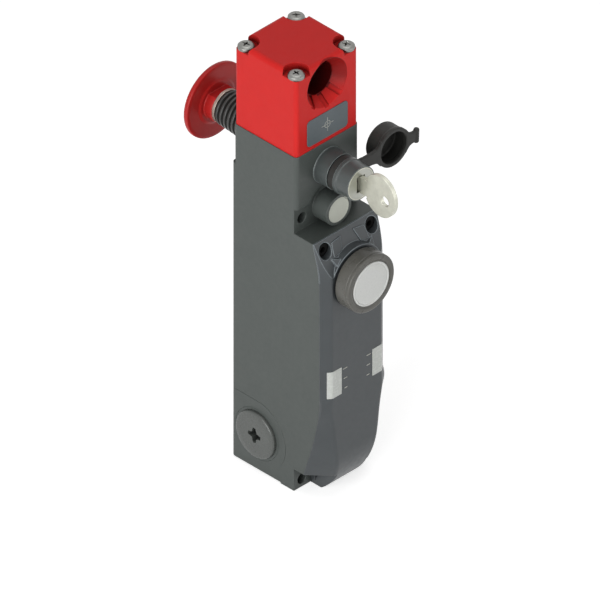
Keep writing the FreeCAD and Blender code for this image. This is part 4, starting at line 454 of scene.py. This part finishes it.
# By slot: name, colour and roughness, then for a coated one the size and depth of its grain.
# A coated finish's hollow factor is painted shade in closed-in places, and its edge factor a painted
# highlight on sharp edges.
MATERIALS = {
    "body_grey": coated("grey_powder_coat", (0.062, 0.072, 0.067), 0.44, 0.35, 0.010, edge=0.5, edge_highlight=1.3,
                        hollow_shade=0.75),
    "cover_grey": coated("grey_powder_coat_cover", (0.046, 0.053, 0.057), 0.40, 0.35, 0.006, edge=0.8,
                         edge_highlight=5.0, specular=0.45, edge_highlight_above=COVER_HIGHLIGHT_Z),
    "lock_grey": coated("lock_powder_coat", (0.058, 0.068, 0.067), 0.36, 0.35, 0.006, edge=0.35, edge_highlight=4.0,
                        specular=0.5),
    "head_red": coated("satin_red", (0.62, 0.020, 0.018), 0.40, 0.25, 0.004, edge=0.5, variation=0.02,
                       edge_highlight=1.1, specular=0.14, hollow_shade=0.3, reach=12.0, entry=0.42),
    # a darker copy of the head's red: painted shade on the knob's back; its edge factor paints a highlight on
    # the rim
    "shaded_knob_red": coated("shaded_knob_red", (0.42, 0.016, 0.015), 0.34, 0.25, 0.004, edge=0.7, variation=0.02,
                       edge_highlight=1.5, specular=0.22),
    "plate_grey": coated("plate_grey", (0.098, 0.118, 0.128), 0.5, 0.2, 0.008, edge_highlight=1.8),
    "steel": metal("turned_steel", (0.40, 0.40, 0.37), 0.38, (1, 6, 1)),
    "bright_steel": metal("zinc_plated_steel", (0.235, 0.235, 0.222), 0.34),
    "nickel": metal("nickel_silver_key", (0.54, 0.54, 0.465), 0.40),
    "bezel_grey": coated("bezel_grey", (0.098, 0.096, 0.085), 0.30, 0.2, 0.004, edge=0.4, edge_highlight=1.3,
                         specular=0.36, hollow_shade=0.8),
    "lens_white": milky("milky_lens", (0.68, 0.69, 0.67), 0.34, 0.012),
    "guide_clear": milky("frosted_guide", (0.56, 0.58, 0.55), 0.26, 0.02),
    "rubber_black": coated("rubber_black", (0.031, 0.031, 0.029), 0.45, 0.3, 0.006, edge_highlight=1.5, specular=0.2),
    "bellows_black": coated("bellows_black", (0.027, 0.027, 0.025), 0.32, 0.4, 0.006, edge_highlight=3.0, specular=0.5),
    "plug_grey": coated("plug_grey", (0.50, 0.515, 0.45), 0.42, 0.3, 0.004, edge_highlight=1.2, hollow_shade=0.9),
    "conduit_grey": coated("conduit_plug_grey", (0.070, 0.077, 0.071), 0.27, 0.3, 0.0015, edge=0.3, edge_highlight=1.2,
                           specular=0.6, hollow_shade=0.1, reach=3.5),
    "copper": metal("enamelled_copper", (0.60, 0.26, 0.12), 0.3),
    "board_green": coated("circuit_board", (0.02, 0.11, 0.05), 0.4, 0.4, 0.01),
    "inner_black": coated("inner_black", (0.02, 0.02, 0.02), 0.55, 0.3, 0.01),
    "bronze": metal("sintered_bronze", (0.55, 0.36, 0.16), 0.4),
    "black_screw": coated("screw_black_shade", (0.004, 0.004, 0.004), 0.7, 0.3, 0.01, specular=0.1),
    "print_pale": coated("pale_print", (0.50, 0.50, 0.45), 0.6, 0.3, 0.002),
    "barrel": metal("barrel_face", (0.37, 0.375, 0.34), 0.36),
    "washer": metal("washer_steel", (0.50, 0.46, 0.40), 0.42),
}
# Nodes that don't look like the rest of their slot.
OWN_FINISH = {
    "lock_barrel": "barrel",
    # the cover screws sit deep in their wells; their near-black finish is painted shade of the wells
    "cover_screws": "black_screw",
    "knob_washer": "washer",
    "release_screw": "black_screw",
}


def dress_nodes():
    """Give every CAD node the finish of its material slot, or its own."""
    for node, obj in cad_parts.items():
        for index, slot in enumerate(obj.material_slots):
            name = OWN_FINISH.get(node, slot.material.name.split(".")[0])
            obj.material_slots[index].material = MATERIALS[name]


# ---- mesh tools --------------------------------------------------------------------------
def rounded(corners, closed=False, steps=5):
    """Follow (a, b, round) corners, turning each in a small arc of its round."""
    path = []
    count = len(corners)
    for index, (a, b, size) in enumerate(corners):
        corner = Vector((a, b))
        if size == 0 or (not closed and index in (0, count - 1)):
            path.append(corner)
            continue
        back = Vector(corners[index - 1][:2]) - corner
        ahead = Vector(corners[(index + 1) % count][:2]) - corner
        reach = min(size / math.tan(back.angle(ahead) / 2), back.length * 0.49, ahead.length * 0.49)
        first, last = corner + back.normalized() * reach, corner + ahead.normalized() * reach
        for step in range(steps + 1):
            t = step / steps
            path.append(first * (1 - t) ** 2 + corner * 2 * t * (1 - t) + last * t ** 2)
    return path


def lathe(shape, corners, centre, axis, closed=False, segments=96):
    """Turn (along, radius, round) corners about an axis through centre, into the bmesh."""
    side = axis.orthogonal().normalized()
    other = axis.cross(side)
    rings = []
    for along, radius in rounded(corners, closed):
        foot = centre + axis * along
        if radius < 1e-6:
            rings.append([shape.verts.new(foot)])
            continue
        ring = []
        for step in range(segments):
            angle = 2 * math.pi * step / segments
            ring.append(shape.verts.new(foot + (side * math.cos(angle) + other * math.sin(angle)) * radius))
        rings.append(ring)
    for first, second in zip(rings, rings[1:] + (rings[:1] if closed else [])):
        for step in range(segments):
            after = step + 1
            around = [first[step % len(first)], first[after % len(first)],
                      second[after % len(second)], second[step % len(second)]]
            around = list(dict.fromkeys(around))
            if len(around) > 2:
                shape.faces.new(around)


def prism(shape, outline, across, upward, start, axis, length, taper=1.0):
    """Stand a flat outline of (a, b) points on start and run it along an axis, into the bmesh."""
    near = [shape.verts.new(start + across * a + upward * b) for a, b in outline]
    far = [shape.verts.new(start + axis * length + (across * a + upward * b) * taper) for a, b in outline]
    shape.faces.new(near)
    shape.faces.new(far[::-1])
    for index in range(len(outline)):
        after = (index + 1) % len(outline)
        shape.faces.new([near[index], near[after], far[after], far[index]])


def box(shape, low, high):
    """Block between two opposite corners, into the bmesh."""
    outline = [(low[0], low[1]), (high[0], low[1]), (high[0], high[1]), (low[0], high[1])]
    prism(shape, outline, X, Y, Z * low[2], Z, high[2] - low[2])


def cross_outline(arm, width):
    """Outline of a cross recess whose arms narrow towards their ends and widen at the middle."""
    half = width / 2
    quarter = [(arm, -half * 0.7), (arm, half * 0.7), (half * 1.25, half * 1.25)]
    points = []
    for turn in range(4):
        c, s = round(math.cos(turn * math.pi / 2)), round(math.sin(turn * math.pi / 2))
        points += [(a * c - b * s, a * s + b * c) for a, b in quarter]
    return points


def new_object(name, shape, sharp=32):
    """Make the bmesh an object in metres, smooth but for edges sharper than this angle."""
    bmesh.ops.recalc_face_normals(shape, faces=shape.faces)
    mesh = bpy.data.meshes.new(name)
    shape.to_mesh(mesh)
    shape.free()
    mesh.transform(Matrix.Scale(MM, 4))
    shade(mesh, sharp)
    made = bpy.data.objects.new(name, mesh)
    bpy.context.scene.collection.objects.link(made)
    return made


def shade(mesh, sharp):
    """Smooth all faces, but keep the edges that are sharper than this angle in degrees."""
    mesh.polygons.foreach_set("use_smooth", [True] * len(mesh.polygons))
    mesh.set_sharp_from_angle(angle=math.radians(sharp))


def modify(piece, kind, sharp=32, **values):
    """Apply one modifier to the piece's mesh."""
    modifier = piece.modifiers.new(kind.lower(), kind)
    for name, value in values.items():
        setattr(modifier, name, value)
    bpy.context.view_layer.update()
    evaluated = piece.evaluated_get(bpy.context.evaluated_depsgraph_get())
    mesh = bpy.data.meshes.new_from_object(evaluated)
    piece.modifiers.clear()
    piece.data = mesh
    shade(mesh, sharp)


def carve(piece, shape):
    """Cut the closed forms in the bmesh out of the piece."""
    cutter = new_object("cutter", shape)
    modify(piece, "BOOLEAN", operation="DIFFERENCE", solver="EXACT", object=cutter)
    bpy.data.objects.remove(cutter)


def dress(piece, finish, slot, body, *nodes):
    """Give the piece its finish, its body and the CAD nodes that it stands for."""
    piece.data.materials.clear()
    piece.data.materials.append(MATERIALS[finish])
    if body:
        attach(piece, body)
    if nodes:
        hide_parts(*nodes)
    return piece


def turned(name, corners, centre, axis, finish, body, *nodes, slot=None):
    """A piece turned from one closed profile; its slot argument is not used."""
    shape = bmesh.new()
    lathe(shape, corners, centre, axis, closed=True)
    return dress(new_object(name, shape), finish, slot or finish, body, *nodes)


# ---- head --------------------------------------------------------------------------------
def head_seam():
    """Red lip of the head that closes the joint to the body."""
    shape = bmesh.new()
    corners = [(-1, -1), (1, -1), (1, 1), (-1, 1)]
    outline = rounded([(a * HEAD_HALF, b * HEAD_HALF, HEAD_CORNER) for a, b in corners], closed=True)
    foot = Y * HEAD_MIDDLE_Y + Z * (HEAD_BASE - GASKET_THICKNESS)
    prism(shape, outline, X, Y, foot, Z, GASKET_THICKNESS)
    dress(new_object("head_seam", shape), "head_red", "head_red", "switch_body", "head_gasket")


def head_screws():
    """Four pan-head screws with tapered cross recesses."""
    shape, recesses = bmesh.new(), bmesh.new()
    profile = [(-SCREW_SHANK_LENGTH, 0, 0), (-SCREW_SHANK_LENGTH, SCREW_SHANK_RADIUS, 0),
               (0, SCREW_SHANK_RADIUS, 0), (0, SCREW_HEAD_RADIUS, 0.2), (1.5, SCREW_HEAD_RADIUS, 0.6),
               (2.35, 2.9, 1.6), (2.5, 0, 0)]
    cross = cross_outline(SCREW_CROSS_ARM, SCREW_CROSS_WIDTH)
    for side in (-1, 1):
        for end in (-1, 1):
            seat = Vector((side * SCREW_OFFSET, HEAD_MIDDLE_Y + end * SCREW_OFFSET, SCREW_SEAT_Z))
            lathe(shape, profile, seat, Z, segments=64)
            angle = 20 + 17 * side + 9 * end        # each screw stopped at an angle of its own
            turn = Matrix.Rotation(math.radians(angle), 3, "Z")
            prism(recesses, cross, turn @ X, turn @ Y, seat + Z * 2.8, -Z, 1.8, taper=0.6)
    screws = new_object("pan_head_screws", shape)
    carve(screws, recesses)
    dress(screws, "bright_steel", "bright_steel", "switch_body", "head_screws")


def mark_lines():
    """Pale ring and cross laid in the grooves of the mark plate."""
    shape = bmesh.new()
    centre = Vector((0, PLATE_FRONT_Y + MARK_SUNK, PLATE_Z))
    inner, outer = MARK_RING
    ring = [(0, inner, 0), (MARK_THICKNESS, inner, 0), (MARK_THICKNESS, outer, 0), (0, outer, 0)]
    lathe(shape, ring, centre, -Y, closed=True)
    line = [(-MARK_ARM, -MARK_HALF_LINE), (MARK_ARM, -MARK_HALF_LINE),
            (MARK_ARM, MARK_HALF_LINE), (-MARK_ARM, MARK_HALF_LINE)]
    for across, upward in ((X, Z), (Z, X)):
        prism(shape, line, across, upward, centre, -Y, MARK_THICKNESS)
    dress(new_object("mark_lines", shape), "print_pale", "plate_grey", "switch_body")


# ---- cover -------------------------------------------------------------------------------
def shoulder_pads():
    """Low moulded panels on the slope between the cover screws and the button."""
    shape = bmesh.new()
    lean = math.atan2(SLOPE_FOOT_REACH - SLOPE_TOP_REACH, SLOPE_DROP)
    down = Vector((0, -math.sin(lean), -math.cos(lean)))
    out = Vector((0, -math.cos(lean), math.sin(lean)))
    sunk, proud = 1.0, 0.4
    start = Vector((0, FRONT_Y - SLOPE_TOP_REACH, LEDGE_Z)) - out * sunk
    corners = [(3.9, 2.4, 0.5), (10.4, 3.3, 0.5), (11.4, 10.3, 0.5), (6.2, 9.6, 0.5)]
    for side in (-1, 1):
        outline = rounded([(side * a, b, size) for a, b, size in corners], closed=True)
        prism(shape, outline, X, down, start, out, sunk + proud, taper=0.985)
    dress(new_object("shoulder_pads", shape), "cover_grey", "cover_grey", "switch_body")


# ---- escape release ----------------------------------------------------------------------
def bellows():
    """Ribbed rubber bellows."""
    pitch = (BELLOWS_END - BELLOWS_START) / BELLOWS_RIBS
    outer, inner = [], []
    for rib in range(BELLOWS_RIBS):
        y = rib * pitch
        crest = BELLOWS_BASE_RADIUS + (BELLOWS_END_RADIUS - BELLOWS_BASE_RADIUS) * rib / BELLOWS_RIBS
        valley = crest - BELLOWS_RIB_DEPTH
        outer += [(y + 0.02, valley, 0.25), (y + pitch * 0.28, crest, 0.55),
                  (y + pitch * 0.72, crest, 0.55), (y + pitch - 0.02, valley - 0.1, 0.25)]
        inner.append((y + pitch / 2, crest - 2.6, 0))
    piece = turned("ribbed_bellows", outer + inner[::-1], Vector((0, BELLOWS_START, LOCK_Z)), Y,
                   "bellows_black", "switch_body", "bellows", slot="rubber_black")
    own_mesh(piece)


def escape_knob():
    """Mushroom knob with a rounded rim, a shallow dished back and a flatted hub."""
    shape = bmesh.new()
    centre = Vector((0, 0, LOCK_Z))
    well_floor = KNOB_FACE_Y - KNOB_WELL_DEPTH
    lathe(shape, [(KNOB_DISC_Y, 0, 0), (KNOB_DISC_Y, 10.5, 0.6), (KNOB_DISC_Y + 0.5, 11.6, 0.8),
                  (KNOB_DISC_Y + 0.35, KNOB_RADIUS - 1.6, 1.0), (KNOB_DISC_Y + 0.55, KNOB_RADIUS - 0.1, 0.7),
                  (KNOB_FACE_Y - 1.0, KNOB_RADIUS, 1.6), (KNOB_FACE_Y, KNOB_RADIUS - 3.5, 3.0),
                  (KNOB_FACE_Y, 4.4, 0.3), (KNOB_FACE_Y - 0.6, KNOB_WELL_RADIUS, 0.2),
                  (well_floor, KNOB_WELL_RADIUS, 0), (well_floor, 0, 0)],
          centre, Y, segments=144)
    widest = math.asin(HUB_FLAT / HUB_RADIUS)
    angles = [widest * (step / 12 - 1) for step in range(25)]
    arc = [(HUB_RADIUS * math.cos(angle), HUB_RADIUS * math.sin(angle)) for angle in angles]
    outline = arc + [(-a, -b) for a, b in arc]
    into_disc = 0.4
    prism(shape, outline, X, Z, centre + Y * KNOB_HUB_Y, Y, KNOB_DISC_Y - KNOB_HUB_Y + into_disc)
    knob = new_object("mushroom_knob", shape)
    modify(knob, "BEVEL", width=0.35 * MM, segments=3, limit_method="ANGLE", angle_limit=math.radians(50))
    dress(knob, "shaded_knob_red", "head_red", "escape_group", "escape_knob")


# ---- key lock ----------------------------------------------------------------------------
def lock_body():
    """Turned lock housing with the groove for the strap's ring and the seat of the barrel."""
    back = -10.0
    groove_start, groove_end = STRAP_GROOVE
    profile = [(back, BARREL_RADIUS, 0), (back, LOCK_SHANK_RADIUS, 0.2), (0, LOCK_SHANK_RADIUS, 0),
               (0, LOCK_BASE_RADIUS + 0.3, 0), (0.35, LOCK_BASE_RADIUS, 0),
               (groove_start, LOCK_BASE_RADIUS, 0), (groove_start, STRAP_GROOVE_RADIUS, 0),
               (groove_end, STRAP_GROOVE_RADIUS, 0), (groove_end, LOCK_BASE_RADIUS, 0),
               (13.7, LOCK_BASE_RADIUS, 0.2), (14.0, LOCK_NOSE_RADIUS, 0.2),
               (LOCK_NOSE_REACH, LOCK_NOSE_RADIUS, 0), (LOCK_NOSE_REACH, BARREL_FACE_RADIUS, 0),
               (BARREL_FACE_REACH, BARREL_FACE_RADIUS, 0), (BARREL_FACE_REACH, BARREL_RADIUS, 0)]
    turned("lock_nose", profile, Vector((0, FRONT_Y, LOCK_Z)), -Y,
           "lock_grey", "switch_body", "lock_housing", slot="body_grey")


def barrel_rim():
    """Bright ring pressed round the face of the lock barrel."""
    turned("barrel_rim", [(20.2, 7.74, 0), (20.2, 8.1, 0), (21.32, 8.1, 0.12), (21.32, 7.66, 0.12)],
           Vector((0, FRONT_Y, LOCK_Z)), -Y, "nickel", "switch_body", slot="bright_steel")


def key_outline():
    """Blade, neck and oval bow of the key in (reach, height) points, from the tip round."""
    tip = 1.2
    lower = [(tip, -KEY_BLADE_HALF, 0.8), (KEY_BLADE_REACH, -KEY_BLADE_HALF, 0.2),
             (KEY_BLADE_REACH, -KEY_NECK_HALF, 0.2), (KEY_NECK_REACH, -KEY_NECK_HALF, 1.5)]
    upper = [(a, -b, size) for a, b, size in lower[::-1]]
    bow_end = 152               # degrees round from the bow's far end to the neck
    bow = []
    for step in range(61):
        angle = math.radians(-bow_end + 2 * bow_end * step / 60)
        bow.append((KEY_BOW_REACH + KEY_BOW_HALF_LENGTH * math.cos(angle),
                    KEY_BOW_HALF_HEIGHT * math.sin(angle), 0))
    return rounded(lower + bow + upper, closed=True, steps=4)


def key():
    """Flat key with a hole in its bow and one milled groove on each side of its blade."""
    shape, cuts = bmesh.new(), bmesh.new()
    side = KEY_THICKNESS / 2
    start = Vector((-side, FRONT_Y, LOCK_Z))
    prism(shape, key_outline(), -Y, Z, start, X, KEY_THICKNESS)
    past = 1.0                  # the cutter stands out on both sides
    lathe(cuts, [(-past, 0, 0), (-past, KEY_HOLE_RADIUS, 0), (KEY_THICKNESS + past, KEY_HOLE_RADIUS, 0),
                 (KEY_THICKNESS + past, 0, 0)],
          start - Y * KEY_HOLE_REACH - Z * KEY_HOLE_DROP, X, segments=48)
    for x, height in ((-side, 1.2), (side, -1.4)):
        low = Vector((x - KEY_GROOVE_DEPTH, FRONT_Y - KEY_GROOVE_LENGTH,
                      LOCK_Z + height - KEY_GROOVE_WIDTH / 2))
        box(cuts, low, low + Vector((2 * KEY_GROOVE_DEPTH, KEY_GROOVE_LENGTH, KEY_GROOVE_WIDTH)))
    piece = new_object("flat_key", shape)
    carve(piece, cuts)
    dress(piece, "nickel", "bright_steel", "key_body", "key")


def strap_outline(stations):
    """Outline of a strap from (x, half width) stations."""
    return [(x, -half) for x, half in stations] + [(x, half) for x, half in stations[::-1]]


def dust_cap():
    """Ring, strap, cap and pull tab, moulded as one piece of rubber and drooped a little about the lock."""
    shape = bmesh.new()
    lock = Vector((0, FRONT_Y, LOCK_Z))
    cap = lock + X * CAP_X
    strap = lock - Y * STRAP_REACH
    ring_start, ring_end, ring_inner = 8.2, 11.8, 7.08
    lathe(shape, [(ring_start, ring_inner, 0), (ring_start, STRAP_RING_RADIUS, 0.3),
                  (ring_end, STRAP_RING_RADIUS, 0.3), (ring_end, ring_inner, 0)], lock, -Y, closed=True)
    lathe(shape, [(1.5, 0, 0), (1.5, CAP_RADIUS, 1.6), (8.6, CAP_RADIUS, 0), (9.0, 10.0, 0.2),
                  (10.75, 10.0, 0.3), (10.75, 8.1, 0.4), (8.8, 8.0, 0.2), (8.6, 8.55, 0.2),
                  (2.9, 8.5, 0.8), (2.9, 0, 0)], cap, -Y)
    to_cap = [(7.6, 3.5), (10, 3.35), (13, 3.2), (18, 3.2), (20.5, 3.7), (22.2, 4.8), (23.6, 6.6)]
    pull_tab = [(39.6, 6.4), (40.9, 4.6), (42.2, 3.4), (44, 2.9), (45.6, 3.1), (47.0, 3.4)]
    for stations in (to_cap, pull_tab):
        prism(shape, strap_outline(stations), X, Z, strap + Y * (STRAP_THICKNESS / 2), -Y, STRAP_THICKNESS)
    lathe(shape, [(-TAB_BEAD_HALF, 0, 0), (-TAB_BEAD_HALF, TAB_BEAD_RADIUS, 0.5),
                  (TAB_BEAD_HALF, TAB_BEAD_RADIUS, 0.5), (TAB_BEAD_HALF, 0, 0)],
          strap + X * TAB_BEAD_X, Z, segments=32)
    droop = Matrix.Rotation(math.radians(STRAP_DROOP), 3, "Y")
    bmesh.ops.rotate(shape, verts=shape.verts, cent=lock, matrix=droop)
    piece = new_object("moulded_dust_cap", shape)
    modify(piece, "REMESH", mode="VOXEL", voxel_size=RUBBER_VOXEL * MM)
    modify(piece, "SMOOTH", sharp=60, factor=0.5, iterations=5)
    dress(piece, "rubber_black", "rubber_black", None, "strap_ring", "dust_cap")
    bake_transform(piece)


# ---- release, button and conduit plugs ---------------------------------------------------
def release_plug():
    """Pale sealing disc with a thin rim and a lifting tab."""
    shape = bmesh.new()
    top = RELEASE_REACH
    lathe(shape, [(RELEASE_SEAT, 0, 0), (RELEASE_SEAT, RELEASE_RADIUS, 0), (top, RELEASE_RADIUS, 0.35),
                  (top, 5.9, 0.2), (top - 0.12, 5.7, 0.2), (top - 0.05, 0, 0)], RELEASE_CENTRE, -Y)
    root, end, half = 5.6, RELEASE_TAB_REACH, RELEASE_TAB_HALF
    tab = rounded([(root, -half, 0), (end, -half, 0.5), (end, half, 0.5), (root, half, 0)], closed=True)
    prism(shape, tab, (X + Z).normalized(), (Z - X).normalized(),
          RELEASE_CENTRE - Y * RELEASE_SEAT, -Y, top - RELEASE_SEAT)
    dress(new_object("release_cap", shape), "plug_grey", "plug_grey", "switch_body", "release_plug")


def push_button():
    """Bezel with a fine groove round its side, and a milky lens with a fine groove in its rim."""
    centre = Vector((0, FRONT_Y, BUTTON_Z))
    barrel, rim, well = BEZEL_BARREL_RADIUS, BEZEL_RADIUS, LENS_WELL_RADIUS
    top, groove = BEZEL_REACH, BEZEL_GROOVE
    profile = [(BEZEL_BARREL_END, STEM_BORE_RADIUS, 0), (BEZEL_BARREL_END, barrel, 0.3),
               (BEZEL_SEAT, barrel, 0), (BEZEL_SEAT, rim, 0.4),
               (groove - 0.3, rim, 0.15), (groove, rim - 0.3, 0.1), (groove + 0.3, rim, 0.15),
               (top, rim, 1.9), (top, 12.5, 0.5), (top - 0.4, 12.0, 0.3), (top - 0.4, well, 0.15),
               (LENS_WELL_FLOOR, well, 0), (LENS_WELL_FLOOR, STEM_BORE_RADIUS, 0)]
    turned("button_ring", profile, centre, -Y, "bezel_grey", "switch_body", "button_bezel")
    shape = bmesh.new()
    edge = LENS_REACH
    lathe(shape, [(LENS_BACK, 0, 0), (LENS_BACK, LENS_RADIUS, 0.2), (edge, LENS_RADIUS, 0.45),
                  (edge, 10.5, 0.15), (edge - 0.25, 10.3, 0.15), (edge - 0.25, 10.0, 0.15),
                  (edge - 0.1, 9.7, 0.3), (edge + 0.05, 0, 0)], centre, -Y, segments=128)
    dress(new_object("button_cap", shape), "lens_white", "lens_white", "push_button", "button_lens")


def conduit_plug(side, name):
    """Blanking plug with a domed rim and a tapered cross recess; side is -1 for left."""
    axis = X * side
    centre = Vector((side * ENTRY_CENTRE.x, ENTRY_CENTRE.y, ENTRY_CENTRE.z))
    inner, outer = ENTRY_RING_RADII
    floor, flush = -ENTRY_RECESS_DEPTH, -0.02
    ring = [(floor, inner, 0), (floor, outer, 0), (flush, outer, 0.12), (flush, 12.1, 0)]
    turned(name + "_entry_ring", ring, centre, axis, "body_grey", "switch_body")
    shape, recess = bmesh.new(), bmesh.new()
    seat = floor - 0.05
    lathe(shape, [(-PLUG_SHANK_LENGTH, 0, 0), (-PLUG_SHANK_LENGTH, PLUG_SHANK_RADIUS, 0.3),
                  (seat, PLUG_SHANK_RADIUS, 0), (seat, PLUG_HEAD_RADIUS, 0), (0.1, PLUG_HEAD_RADIUS, 0.2),
                  (1.75, 12.0, 1.3), (1.9, 9.2, 1.2), (1.85, 0, 0)], centre, axis, segments=128)
    cross = cross_outline(PLUG_CROSS_ARM, PLUG_CROSS_WIDTH)
    prism(recess, cross, Y, Z, centre + axis * 2.2, -axis, 4.0, taper=0.7)
    plug = new_object(name + "_blanking_plug", shape)
    carve(plug, recess)
    dress(plug, "conduit_grey", "conduit_grey", "switch_body", name + "_conduit_plug")


def guide_marks():
    """Short pale dashes beside the light guides, where a switch has its indicator rows."""
    shape = bmesh.new()
    start, longest, shorter = 6.2, 8.9, 0.5         # each row ends a step short of the one above
    front = FRONT_Y - SLOPE_FOOT_REACH
    half_thickness, half_height = 0.04, 0.2
    for side in (-1, 1):
        for row, height in enumerate(GUIDE_ROWS):
            low_x, high_x = sorted((side * start, side * (longest - shorter * row)))
            box(shape, (low_x, front - half_thickness, height - half_height),
                (high_x, front + half_thickness, height + half_height))
    dress(new_object("guide_marks", shape), "print_pale", "plate_grey", "switch_body")


add_camera()
low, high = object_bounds()
middle = (low + high) / 2
add_lamp("left_softbox", place=(-1.1, -0.35, 0.35), target=middle, width=0.9, power=11.2)
add_lamp("front_softbox", place=(0.35, -1.2, 0.35), target=middle, width=0.9, power=3.7)
add_lamp("top_softbox", place=(0.1, 0.0, 1.3), target=middle, width=1.0, power=4.8)
add_world(ambient=0.16, shown=1.0)
add_floor(low.z - 0.2 * MM, lift=0.62)

dress_nodes()
head_seam()
head_screws()
mark_lines()
shoulder_pads()
bellows()
escape_knob()
lock_body()
barrel_rim()
key()
dust_cap()
release_plug()
push_button()
conduit_plug(-1, "left")
conduit_plug(1, "right")
guide_marks()

bpy.context.scene.view_settings.view_transform = "Standard"
